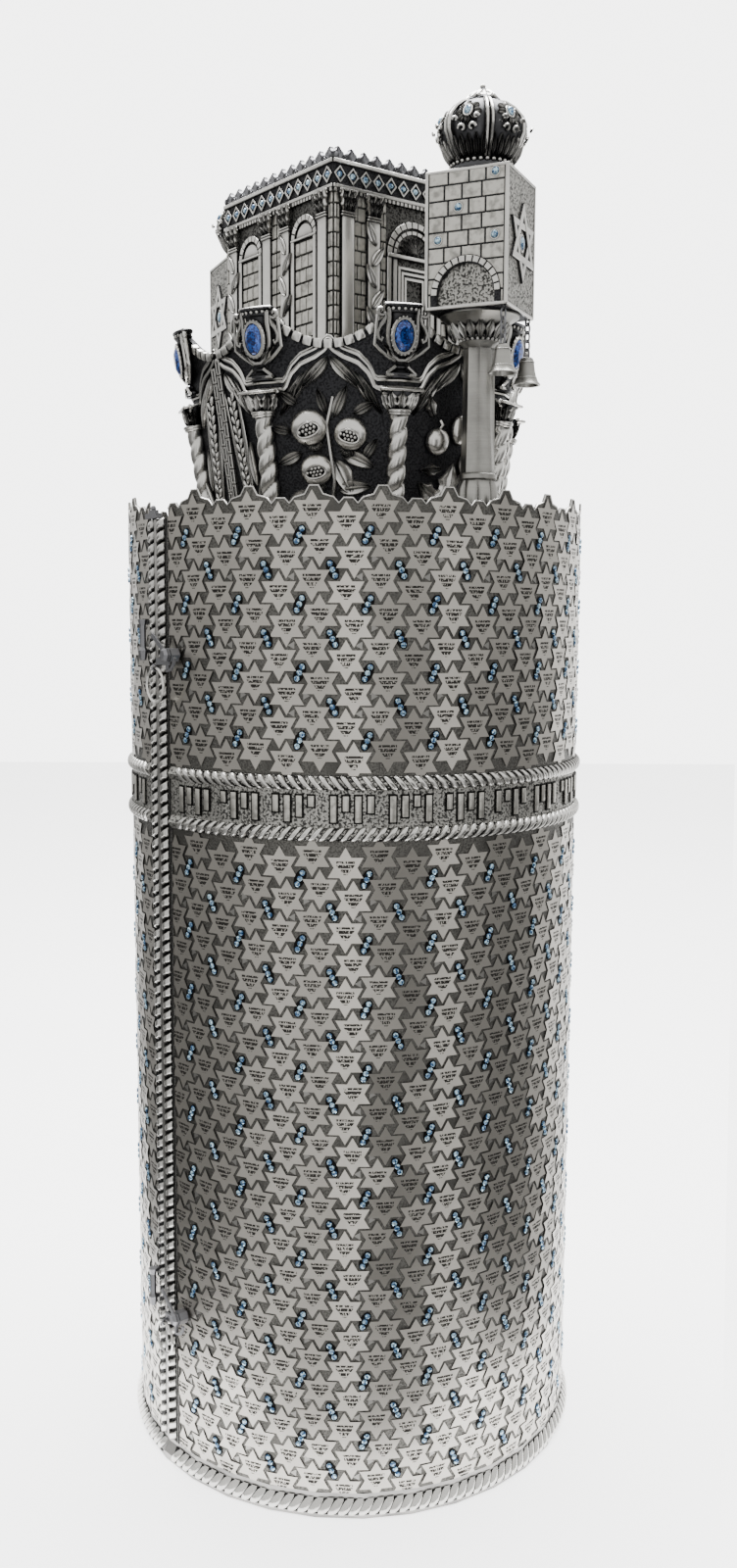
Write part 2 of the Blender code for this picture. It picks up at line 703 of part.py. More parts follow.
def twisted_column():
    """A six-sided column that turns as it rises, standing on the origin along Y."""
    height, levels = TWIST_TOP - TWIST_FOOT, 4
    bm = bmesh.new()
    bmesh.ops.create_circle(bm, cap_ends=True, segments=5, radius=TWIST_RADIUS)
    face = bm.faces[:][0]
    for level in range(levels):
        grown = bmesh.ops.extrude_face_region(bm, geom=[face], use_keep_orig=level == 0)
        moved = [g for g in grown["geom"] if isinstance(g, bmesh.types.BMVert)]
        bmesh.ops.translate(bm, verts=moved, vec=(0, 0, height / levels))
        twist = Matrix.Rotation(math.radians(60), 3, "Z")
        bmesh.ops.rotate(bm, verts=moved, cent=(0, 0, 0), matrix=twist)
        if level:
            bmesh.ops.delete(bm, geom=[face], context="FACES_ONLY")
        face = next(g for g in grown["geom"] if isinstance(g, bmesh.types.BMFace))
    return relief(placed(from_bmesh("twist", bm), UPRIGHT))


def leaf_capital():
    """A flaring capital with a scalloped edge, its foot on the origin, along Y."""
    rise = MOULDING_LOW - TWIST_TOP
    wide, root = CAPITAL_RADIUS, -0.001
    profile = [(0, rise), (wide, rise), (wide * 0.86, rise * 0.45), (TWIST_RADIUS, root), (0, root)]
    cone = placed(turned(profile, 6), UPRIGHT)
    return relief(placed(cone, Matrix.Diagonal((1, 1, 0.55, 1))))


def vase():
    """A two-handled vase in half relief, its foot on the origin, along Y."""
    high, wide = VASE_HEIGHT, VASE_RADIUS
    shares = [
        (0.00, 1.00),
        (1.05, 1.00),
        (0.72, 0.88),
        (1.00, 0.50),
        (0.26, 0.15),
        (0.80, 0.05),
        (0.80, 0.00),
        (0.00, 0.00),
    ]
    body = placed(turned([(r * wide, z * high) for r, z in shares], 8, math.radians(22.5)), UPRIGHT)
    placed(body, Matrix.Diagonal((1, 1, VASE_DEPTH_SHARE, 1)))
    shapes = [relief(body)]
    for side in (1, -1):
        path = [(0.70, 0.95), (1.34, 0.80), (1.16, 0.46), (0.45, 0.32)]
        points = [(side * x * wide, y * high, HANDLE_RADIUS * 0.6) for x, y in path]
        shapes.append(tube(points, HANDLE_RADIUS))
    return shapes


def stone(grow=0.0):
    """A cut oval stone, its table towards +Z, grown on all sides for its seat."""
    radii = (GEM_HALF_WIDTH + grow, GEM_HALF_HEIGHT + grow, GEM_DEPTH + grow)
    return ball((0, 0, 0), radii, 8, 3)


def relief(shape):
    """Cuts a solid's back off, a little way inside the wall that it will be cast onto."""
    bm = bmesh.new()
    bm.from_mesh(shape.data)
    geom = [*bm.verts, *bm.edges, *bm.faces]
    depth = (0, 0, -RELIEF_ROOT)
    bmesh.ops.bisect_plane(bm, geom=geom, plane_co=depth, plane_no=(0, 0, -1), clear_outer=True)
    bmesh.ops.holes_fill(bm, edges=[edge for edge in bm.edges if edge.is_boundary])
    bm.to_mesh(shape.data)
    bm.free()
    return shape


def leaf(x, y, length, angle, width=0.36):
    """A pointed leaf in low relief, from a point, at an angle from the upright."""
    shape = ball((0, length / 2, 0), (length * width / 2, length / 2, LEAF_RISE), 4, 2)
    return placed(shape, Matrix.Translation((x, y, 0)) @ Matrix.Rotation(angle, 4, "Z"))


def fruit(x, y, radius, height=1.0, crown=0.0):
    """A round fruit in half relief, with a small crown at its foot if it has one."""
    shape = ball((0, 0, 0), (radius, radius * height, radius * 0.75), 8 if radius > BIG_FRUIT else 5, 4)
    shapes = [relief(placed(shape, Matrix.Translation((x, y, -radius * 0.1))))]
    if crown:
        shapes.append(leaf(x, y - radius * 0.8, radius * 0.8, math.pi, 0.8))
    return shapes


def pomegranates():
    """Three open pomegranates with leaves."""
    shapes = fruit(-0.0095, 0.041, 0.0088, 1, 1) + fruit(0.0115, 0.036, 0.0078, 1, 1)
    shapes += fruit(-0.0070, 0.018, 0.0086, 1, 1)
    spread = ((0.000, 0.050, 0.016, 0.1), (0.004, 0.048, 0.016, -0.6), (0.004, 0.024, 0.018, -2.1))
    return shapes + [leaf(*entry) for entry in spread]


def figs():
    """Two figs over broad lobed leaves."""
    shapes = fruit(-0.0120, 0.034, 0.0072, 1.1) + fruit(0.0010, 0.042, 0.0064, 1.35)
    spread = [(0, 0.012, 0.014, 0.5 * k) for k in (-3, -1, 1, 3)]
    return shapes + [leaf(*entry, width=0.6) for entry in spread]


def grapes():
    """A hanging bunch of grapes under two leaves."""
    shapes = []
    for row, count in enumerate((3, 2, 1)):
        for k in range(count):
            shapes += fruit((k - (count - 1) / 2) * 0.0085, 0.040 - 0.0085 * row, 0.0046)
    return shapes + [leaf(0, 0.046, 0.018, 1.1, 0.6), leaf(0, 0.046, 0.018, -1.1, 0.6)]


def olives():
    """An olive sprig."""
    shapes = fruit(-0.0080, 0.034, 0.0040, 1.5) + fruit(0.0080, 0.030, 0.0040, 1.5)
    shapes += fruit(0, 0.018, 0.0040, 1.5)
    spread = [(0, y, 0.018, way * angle) for y, angle in ((0.044, 0.9), (0.026, 1.6)) for way in (1, -1)]
    return shapes + [leaf(*entry, width=0.26) for entry in spread]


def dates():
    """A fan of palm leaves over dates."""
    shapes = [leaf(0, 0.040, 0.022, 0.55 * k, 0.22) for k in (-2, -1, 0, 1, 2)]
    for k in (-1, 0, 1):
        shapes += fruit(0.0075 * k, 0.026 - 0.004 * abs(k), 0.0036, 1.7)
    return shapes


def wheat_ear(side):
    """An upright ear of wheat that leans away from the seam."""
    shapes = []
    for k in range(3):
        y = 0.020 + 0.0140 * k
        x = side * (0.0120 + 0.0012 * k)
        shapes.append(leaf(x, y, 0.0150, -side * 0.5, 0.5))
        shapes.append(leaf(x, y, 0.0150, side * 0.35, 0.5))
    return shapes


PANELS = {
    "right": (pomegranates, figs, olives),
    "left": (grapes, dates, olives),
}


def build_coronet(side, label):
    """Half of the coronet, cast in one, with a seat for each of its oval stones."""
    azimuths = {math.asin(SEAM_GAP / 2 / CORONET_FOOT_RADIUS)}
    azimuths.add(math.pi - min(azimuths))
    half = BAY / 2
    for bay in range(5):
        for away in (-GARLAND_HALF_ANGLE, -half / 4, half / 4, GARLAND_HALF_ANGLE):
            azimuths.add(bay * BAY + away)
        azimuths.add(bay * BAY + half)
    ends = (min(a for a in azimuths if a > 0), math.pi - SEAM_GAP / CORONET_FOOT_RADIUS)
    kept = sorted(side * a for a in azimuths if ends[0] <= a <= ends[1])
    wall = curved_sheet(kept, lambda a: ON_LID, crest_height, coronet_point, CORONET_WALL)
    extras, seats, stones = [], [], []
    for k in range(4):
        azimuth = side * (half + k * BAY)
        foot = coronet_frame(azimuth, TWIST_FOOT, TWIST_RADIUS * 0.35)
        extras.append(placed(twisted_column(), foot))
        extras.append(placed(leaf_capital(), coronet_frame(azimuth, TWIST_TOP, TWIST_RADIUS * 0.35)))
        extras += [placed(shape, coronet_frame(azimuth, VASE_FOOT)) for shape in vase()]
        seat = coronet_frame(azimuth, GEM_HEIGHT, VASE_RADIUS * VASE_DEPTH_SHARE)
        seats.append(placed(stone(GAP), seat))
        stones.append(placed(stone(), seat))
    for k in range(5):
        away = (-GARLAND_HALF_ANGLE, -half / 4, half / 4, GARLAND_HALF_ANGLE)
        garland = [side * (k * BAY + a) for a in away if ends[0] < k * BAY + a < ends[1]]
        path = [coronet_point(a, crest_height(a) - GARLAND_RADIUS * 0.6, 0.0006) for a in garland]
        extras.append(tube(path, GARLAND_RADIUS))
    extras.append(tube(moulding_path(side), MOULDING_RADIUS))
    for k, fruits in enumerate(PANELS[label], start=1):
        frame = coronet_frame(side * k * BAY, ON_LID)
        extras += [placed(shape, frame) for shape in fruits()]
    for middle, way in ((0, side), (math.pi, -side)):
        azimuth = middle + way * math.radians(1.5)
        frame = coronet_frame(azimuth, ON_LID)
        extras += [placed(shape, frame) for shape in wheat_ear(way)]
        low, high = ON_LID + 0.0005, GARLAND_LOW - 0.0015
        bricks = block((way * 0.0010 - 0.0028, 0, -0.001), (way * 0.0010 + 0.0028, high - low, 0.0018))
        extras.append(placed(bricks, coronet_frame(middle + way * math.radians(1.6), low)))
    body = carved(fused(wall, extras), [half_space(side), *seats, under_lid()])
    dressed(body, f"{label}_coronet", MATERIALS["dark_silver"])
    for number, gem in enumerate(stones, start=1):
        dressed(gem, f"{label}_vase_stone_{number}", MATERIALS["blue_stone"])


def under_lid():
    """A cutter for whatever would reach below the foot of the coronet."""
    return block((-1, -1, LID_TOP - 0.05), (1, 1, ON_LID))


OGEE = ((0.0, 0.0), (0.62, 0.76), (1.0, 1.0))


def moulding_path(side):
    """The line of the ogee moulding: flat over each capital, rising to a point over each panel."""
    reach = BAY / 2 - MOULDING_FLAT
    rise = MOULDING_PEAK - MOULDING_LOW
    path = []
    for k in range(4):
        capital = BAY / 2 + k * BAY
        before = [(capital - MOULDING_FLAT - t * reach, MOULDING_LOW + s * rise) for t, s in OGEE]
        after = [(capital + MOULDING_FLAT + t * reach, MOULDING_LOW + s * rise) for t, s in OGEE]
        path += before[::-1][(1 if k else 0):] + after
    first, last = math.radians(0.8), math.pi - math.radians(0.8)
    return [coronet_point(side * min(max(a, first), last), z, 0.0008) for a, z in path]


def merlon_row(count, pitch):
    """A row of pointed merlons standing on the X axis, as one plate."""
    outline = [(0, -0.0006)]
    for k in range(count):
        outline += [(k * pitch, 0.0002), ((k + 0.5) * pitch, MERLON_HEIGHT)]
    outline += [(count * pitch, 0.0002), (count * pitch, -0.0006)]
    return plate([outline], MERLON_THICKNESS)


def arch_frame(radius, foot):
    """A round-headed frame: its springing line on the X axis, its legs down to foot."""
    outer = arc((0, 0), radius, 0, math.pi, 5)
    inner = arc((0, 0), radius - ARCH_WIDTH, math.pi, 0, 5)
    outline = [(radius, foot), *outer, (-radius, foot)]
    outline += [(ARCH_WIDTH - radius, foot), *inner, (radius - ARCH_WIDTH, foot)]
    return plate([outline], 2 * PILASTER_PROUD)


def pilaster():
    """A flat pilaster with a flaring capital, its axis on Y, its head at the frieze."""
    half = PILASTER_WIDTH / 2
    low, high = ON_LID - FRIEZE_BOTTOM + 0.002, 0.0005
    right = [(half, low), (half, -CAPITAL_HEIGHT), (half * CAPITAL_HEAD, high)]
    left = [(-x, y) for x, y in reversed(right)]
    return plate([right + left], 2 * PILASTER_PROUD)


def building_frames(side):
    """The faces of one half of the building: frame at the frieze line, and its outer normal's name."""
    front = facing_front(0, -BUILDING_HALF_Y, FRIEZE_BOTTOM)
    back = Matrix.Rotation(math.pi, 4, "Z") @ front
    flank = Matrix.Rotation(side * math.pi / 2, 4, "Z") @ facing_front(0, -BUILDING_HALF_X, FRIEZE_BOTTOM)
    return front, back, flank


def build_building(side, label):
    """Half of the square building with pilasters, arched windows, doorway, frieze and merlons."""
    wall_top = FRIEZE_BOTTOM + 0.001
    body = block((-BUILDING_HALF_X, -BUILDING_HALF_Y, ON_LID), (BUILDING_HALF_X, BUILDING_HALF_Y, wall_top))
    rise, set_back = FRIEZE_TOP - FRIEZE_BOTTOM, FRIEZE_PROUD - MERLON_THICKNESS / 2 - 0.0004
    wide_x, wide_y = BUILDING_HALF_X + FRIEZE_PROUD, BUILDING_HALF_Y + FRIEZE_PROUD
    extras = [block((-wide_x, -wide_y, FRIEZE_BOTTOM), (wide_x, wide_y, FRIEZE_TOP))]
    front, back, flank = building_frames(side)
    near, far = 0.0105, BUILDING_HALF_X - 0.0095
    for frame, way in ((front, side), (back, -side)):
        for x in (near, far):
            extras.append(placed(pilaster(), frame @ Matrix.Translation((way * x, 0, 0))))
        middle = way * (near + far) / 2
        place = frame @ Matrix.Translation((middle, WINDOW_SPRING - FRIEZE_BOTTOM, 0))
        extras.append(placed(arch_frame(WINDOW_RADIUS, ON_LID + 0.004 - WINDOW_SPRING), place))
        pitch = (wide_x - FRIEZE_PROUD) / MERLONS_PER_HALF_FACE
        row = merlon_row(MERLONS_PER_HALF_FACE, pitch)
        start = 0 if way > 0 else FRIEZE_PROUD - wide_x
        extras.append(placed(row, frame @ Matrix.Translation((start, rise, set_back))))
    for y in (-0.0515, -0.0320, 0.0320, 0.0515):
        extras.append(placed(pilaster(), flank @ Matrix.Translation((y, 0, 0))))
    place = flank @ Matrix.Translation((0, DOOR_SPRING - FRIEZE_BOTTOM, 0))
    extras.append(placed(arch_frame(DOOR_RADIUS, DOOR_FOOT - DOOR_SPRING), place))
    count = 2 * MERLONS_PER_HALF_FACE
    row = merlon_row(count, 2 * (wide_y - 0.0009) / count)
    extras.append(placed(row, flank @ Matrix.Translation((0.0009 - wide_y, rise, set_back))))
    body = carved(fused(body, extras), [half_space(side)])
    dressed(body, f"{label}_building", MATERIALS["case_silver"])


def tower_frame(finial, quarter, z):
    """A frame on a face of a tower box: X to the right, Y up, Z out, at the middle of the face."""
    return finial.place @ Matrix.Rotation(quarter * math.pi / 2, 4, "Z") @ facing_front(0, -TOWER_HALF, z)


def build_tower_column(finial):
    """The eight-sided column of a finial, with its melon foot and flaring capital."""
    foot, top = ON_LID, TOWER_BOTTOM - GAP
    head, neck, base = COLUMN_HEAD_RADIUS, COLUMN_NECK_RADIUS, COLUMN_FOOT_RADIUS
    melon = base * 0.95
    profile = [
        (0, top),
        (head, top),
        (head * 0.96, top - COLUMN_HEAD_DEPTH * 0.18),
        (neck, top - COLUMN_HEAD_DEPTH),
        (neck, top - COLUMN_NECK_DEPTH * 0.82),
        (COLUMN_SHAFT_RADIUS, top - COLUMN_NECK_DEPTH),
        (COLUMN_SHAFT_RADIUS * 1.15, foot + COLUMN_FOOT_HEIGHT),
        (melon, foot + COLUMN_FOOT_HEIGHT * 0.83),
        (melon, foot + COLUMN_FOOT_HEIGHT * 0.21),
        (base, foot + COLUMN_FOOT_HEIGHT * 0.14),
        (base, foot),
        (0, foot),
    ]
    column = placed(turned(profile, COLUMN_SIDES, math.radians(22.5)), finial.place)
    dressed(column, f"{finial.label}_tower_column", MATERIALS["case_silver"])


def star_relief():
    """A raised six-pointed star with a six-sided window, in the XY plane."""
    notch = STAR_RADIUS * STAR_NOTCH
    angles = [math.pi / 2 + k * math.pi / 6 for k in range(12)]
    outer = [(STAR_RADIUS if k % 2 == 0 else notch) for k in range(12)]
    outline = [(r * math.cos(a), r * math.sin(a)) for r, a in zip(outer, angles)]
    window = [((notch - STAR_BAR) * math.cos(a), (notch - STAR_BAR) * math.sin(a)) for a in angles[1::2]]
    return plate([outline, window], 2 * STAR_PROUD)


def corner_place(finial, corner):
    """Where the bell of a corner hangs, in plan."""
    reach = TOWER_SIDE / math.sqrt(2) - BELL_INSET
    return finial.place @ around(reach, math.pi / 4 + corner * math.pi / 2, 0)


def build_tower_box(finial):
    """The square box of a finial: arched niches on two faces, stars on the others, eyelets below."""
    half = TOWER_HALF
    body = placed(block((-half, -half, TOWER_BOTTOM), (half, half, TOWER_TOP)), finial.place)
    cutters, extras = [], []
    for quarter in range(4):
        if quarter % 2 == finial.niche_quarters:
            spring = TOWER_BOTTOM + NICHE_SPRING
            reach, sill = NICHE_HALF_WIDTH, -NICHE_SPRING - 0.002
            outline = [(reach, sill), *arc((0, 0), reach, 0, math.pi, 6), (-reach, sill)]
            recess = plate([outline], 2 * NICHE_DEPTH)
            cutters.append(placed(recess, tower_frame(finial, quarter, spring)))
        else:
            middle = (TOWER_BOTTOM + TOWER_TOP) / 2
            extras.append(placed(star_relief(), tower_frame(finial, quarter, middle)))
    for corner in finial.bell_corners:
        place = corner_place(finial, corner)
        ring = [
            (place.x + 0.0017 * math.cos(a), place.y, TOWER_BOTTOM - 0.0012 + 0.0022 * math.sin(a))
            for a in [k * math.pi / 3 for k in range(6)]
        ]
        extras.append(tube(ring, LINK_WIRE, cyclic=True))
    body = fused(carved(body, cutters), extras)
    dressed(body, f"{finial.label}_tower_box", MATERIALS["case_silver"])


def build_dome(finial):
    """The six-ribbed dome with its hooded cap."""
    foot, wide, high = TOWER_TOP + GAP, DOME_RADIUS, DOME_HEIGHT
    shares = [
        (0.00, 1.00),
        (0.40, 0.82),
        (0.74, 0.69),
        (0.97, 0.52),
        (0.96, 0.38),
        (0.64, 0.13),
        (0.72, 0.08),
        (0.72, 0.00),
        (0.00, 0.00),
    ]
    dome = turned([(r * wide, z * high) for r, z in shares], 2 * DOME_RIBS)
    for vert in dome.data.vertices:
        spoke = math.atan2(vert.co.y, vert.co.x) / (math.pi / DOME_RIBS)
        if round(spoke) % 2 == 0:
            vert.co.x *= RIB_SHARE
            vert.co.y *= RIB_SHARE
    placed(dome, finial.place @ Matrix.Translation((0, 0, foot)))
    dressed(dome, f"{finial.label}_tower_dome", MATERIALS["dark_silver"])


def build_bell(finial, number, corner):
    """A hollow bell on a long link through an eyelet of the tower box."""
    place = corner_place(finial, corner)
    crown = TOWER_BOTTOM - BELL_DROP
    rim, wall, high = BELL_RADIUS, BELL_WALL, BELL_HEIGHT
    profile = [
        (0, 0),
        (rim * 0.48, -high * 0.04),
        (rim * 0.66, -high * 0.62),
        (rim, -high),
        (rim - wall, -high),
        (rim * 0.48 - wall, -high * 0.30),
        (0, -high * 0.14),
    ]
    bell = placed(turned(profile, 6), Matrix.Translation((place.x, place.y, crown)))
    top, bottom = TOWER_BOTTOM - 0.0024 + LINK_WIRE, crown - 0.0006
    link = [
        (place.x, place.y - LINK_HALF_WIDTH, bottom + 0.003),
        (place.x, place.y - LINK_HALF_WIDTH, top - 0.002),
        (place.x, place.y, top),
        (place.x, place.y + LINK_HALF_WIDTH, top - 0.002),
        (place.x, place.y + LINK_HALF_WIDTH, bottom + 0.003),
        (place.x, place.y, bottom),
    ]
    bell = fused(bell, [tube(link, LINK_WIRE, cyclic=True)])
    dressed(bell, f"{finial.label}_bell_{number}", MATERIALS["case_silver"])


def build_finial(finial):
    """One finial: column, box, dome and bells."""
    build_tower_column(finial)
    build_tower_box(finial)
    build_dome(finial)
    for number, corner in enumerate(finial.bell_corners, start=1):
        build_bell(finial, number, corner)


def build():
    """The whole case."""
    for side, label in ((1, "right"), (-1, "left")):
        build_shell(side, f"{label}_case_shell")
        build_star_sheets(side, label)
        build_rings(side, label)
        build_strip(side, label)
        build_coronet(side, label)
        build_building(side, label)
    build_hinge()
    build_catch()
    for label, height in LATCH_HEIGHTS.items():
        build_latch(label, height)
    for finial in FINIALS:
        build_finial(finial)


for old in list(bpy.data.objects):
    bpy.data.objects.remove(old)
PART = new_group("torah_case")
CUTTERS = new_group("cutters")
UPRIGHT = Matrix.Rotation(-math.pi / 2, 4, "X")
MATERIALS = {
    "case_silver": new_material("case_silver", SILVER),
    "star_silver": new_material("star_silver", SILVER),
    "dark_silver": new_material("dark_silver", DARK_SILVER),
    "blue_stone": new_material("blue_stone", BLUE_STONE),
}
build()
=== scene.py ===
"""Looks of the torah case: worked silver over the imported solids, with its ropes, stars, fruit and towers.

Metres, +Z up. An azimuth is an angle about Z, measured from -Y (the front seam) towards +X (the right half).
"""

import logging
import math
from collections.abc import Callable, Sequence
from dataclasses import dataclass
from enum import Enum

import bmesh
import bpy
from mathutils import Matrix, Vector


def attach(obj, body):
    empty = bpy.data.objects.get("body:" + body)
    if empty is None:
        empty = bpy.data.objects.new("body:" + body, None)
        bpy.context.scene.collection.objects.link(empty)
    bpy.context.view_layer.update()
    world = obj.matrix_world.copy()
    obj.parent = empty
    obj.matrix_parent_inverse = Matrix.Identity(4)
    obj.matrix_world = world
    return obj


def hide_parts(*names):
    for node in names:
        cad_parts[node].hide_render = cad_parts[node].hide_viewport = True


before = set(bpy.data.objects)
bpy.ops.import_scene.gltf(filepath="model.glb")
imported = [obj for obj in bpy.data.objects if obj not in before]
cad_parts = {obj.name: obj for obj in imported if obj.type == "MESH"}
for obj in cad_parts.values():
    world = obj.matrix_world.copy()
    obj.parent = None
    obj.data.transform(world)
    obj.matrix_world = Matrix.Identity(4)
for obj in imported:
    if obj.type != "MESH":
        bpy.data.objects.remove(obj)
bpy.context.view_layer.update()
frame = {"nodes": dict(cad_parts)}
LOG = logging.getLogger("torah_case")
Form = bmesh.types.BMesh

MM = 0.001
GAP = 0.3 * MM
CASE_RADIUS = 150 * MM
SKIN_RADIUS = 148.5 * MM
ON_LID = 605.3 * MM
BASE_TOP = 15 * MM
BAND_BOTTOM = 421.8 * MM
BAND_TOP = 459.8 * MM
LEAF_WIDTH = 13.5 * MM
STRIP_WIDTHS = {1: 12.95 * MM, -1: 9.55 * MM}
SEAM_GAP = 0.15 * MM
WELD = 1e-6
EDGE = 0.4 * MM
PLAN_WIDTH = 25.0
UPRIGHT = Matrix.Rotation(-math.pi / 2, 4, "X")


class Side(Enum):
    """The half of the case that a piece belongs to."""

    RIGHT = 1
    LEFT = -1

    @property
    def label(self) -> str:
        """The word that starts the names of this half's pieces."""
        return self.name.lower()

    @property
    def body(self) -> str:
        """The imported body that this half's pieces ride on."""
        return f"{self.label}_half"


def around(radius: float, azimuth: float, z: float) -> Vector:
    """The point at a radius, an azimuth and a height."""
    return Vector((radius * math.sin(azimuth), -radius * math.cos(azimuth), z))


def scatter(*keys: float) -> float:
    """A number from -1 to 1 that looks random and is the same at each run."""
    total = sum(key * factor for key, factor in zip(keys, (12.9898, 78.233, 37.719)))
    return 2 * (math.sin(total) * 43758.5453 % 1.0) - 1


def turned_to(azimuth: float, origin: Vector, flare: float = 0.0) -> Matrix:
    """A frame whose X runs right, Y up the wall and Z out of it, seen from an azimuth.

    Args:
        azimuth: where the frame looks from.
        origin: its origin.
        flare: how far the wall leans out for each metre of height.

    Returns:
        The frame as a matrix.
    """
    right = Vector((math.cos(azimuth), math.sin(azimuth), 0))
    up = (Vector((0, 0, 1)) + around(1, azimuth, 0) * flare).normalized()
    out = right.cross(up)
    rows = [list(row) for row in zip(right, up, out, origin)]
    return Matrix([*rows, [0, 0, 0, 1]])


def shift(x: float = 0.0, y: float = 0.0, z: float = 0.0) -> Matrix:
    """A translation."""
    return Matrix.Translation((x, y, z))


def turn(degrees: float, axis: str = "Z") -> Matrix:
    """A rotation about an axis, in degrees."""
    return Matrix.Rotation(math.radians(degrees), 4, axis)


def scale(x: float, y: float, z: float) -> Matrix:
    """A scale along the three axes."""
    return Matrix.Diagonal((x, y, z, 1))


class Wiring:
    """Adds and links the nodes of one material, or of the surroundings."""

    def __init__(self, holder: bpy.types.ID) -> None:
        """Starts on a new material or world.

        Args:
            holder: the material or the world.
        """
        holder.use_nodes = True
        self.holder = holder
        self.tree = holder.node_tree
        surface = isinstance(holder, bpy.types.Material)
        self.shader = self.tree.nodes["Principled BSDF" if surface else "Background"]
        self.place = self.node("ShaderNodeTexCoord", {}).outputs["Object" if surface else "Generated"]

    def node(self, kind: str, inputs: dict, **settings) -> bpy.types.Node:
        """Adds a node.

        Args:
            kind: the node's type.
            inputs: sockets or values by the input's name or number.
            **settings: the node's own settings.

        Returns:
            The new node.
        """
        node = self.tree.nodes.new(kind)
        for key, value in settings.items():
            setattr(node, key, value)
        for key, value in inputs.items():
            self.feed(node.inputs[key], value)
        return node

    def feed(self, socket: bpy.types.NodeSocket, value: object) -> None:
        """Links a socket to another one, or sets its value.

        Args:
            socket: the input.
            value: an output, or a value.
        """
        if isinstance(value, bpy.types.NodeSocket):
            self.tree.links.new(value, socket)
        else:
            socket.default_value = value

    def give(self, inputs: dict) -> None:
        """Feeds the shader's inputs, by name."""
        for name, value in inputs.items():
            self.feed(self.shader.inputs[name], value)

    def math(self, operation: str, first: object, second: object = 0.0, clamp: bool = False) -> object:
        """The result of a sum on two numbers."""
        node = self.node("ShaderNodeMath", {0: first, 1: second}, operation=operation, use_clamp=clamp)
        return node.outputs[0]

    def mix(self, share: object, first: object, second: object) -> object:
        """A colour between two."""
        node = self.node("ShaderNodeMix", {0: share, 6: first, 7: second}, data_type="RGBA")
        return node.outputs[2]

    def between(self, share: object, low: object, high: object) -> object:
        """A number between two."""
        return self.node("ShaderNodeMix", {0: share, 2: low, 3: high}).outputs[0]

    def noise(self, size: float, detail: float = 2.0, stretch: Sequence[float] = (1, 1, 1)) -> object:
        """Noise of a feature size in metres, stretched along the object's axes.

        Args:
            size: the feature size in metres.
            detail: how fine it is.
            stretch: along X, Y and Z.

        Returns:
            Its socket.
        """
        vector = self.place
        if tuple(stretch) != (1, 1, 1):
            vector = self.node("ShaderNodeMapping", {0: vector, 3: tuple(stretch)}).outputs[0]
        node = self.node("ShaderNodeTexNoise", {"Vector": vector, "Scale": 1 / size, "Detail": detail})
        return node.outputs["Fac"]

    def ramp(self, value: object, low: float, high: float) -> object:
        """A number remapped to 0 at low and 1 at high, with an eased slope."""
        inputs = {0: value, 1: low, 2: high}
        return self.node("ShaderNodeMapRange", inputs, interpolation_type="SMOOTHSTEP").outputs[0]

    def bump(self, height: object, strength: float, distance: float) -> None:
        """Gives the shader a bump.

        Args:
            height: the height's socket.
            strength: how strong it is.
            distance: how deep it is, in metres.
        """
        inputs = {"Height": height, "Strength": strength, "Distance": distance}
        if self.shader.inputs["Normal"].is_linked:
            inputs["Normal"] = self.shader.inputs["Normal"].links[0].from_socket
        self.feed(self.shader.inputs["Normal"], self.node("ShaderNodeBump", inputs).outputs[0])


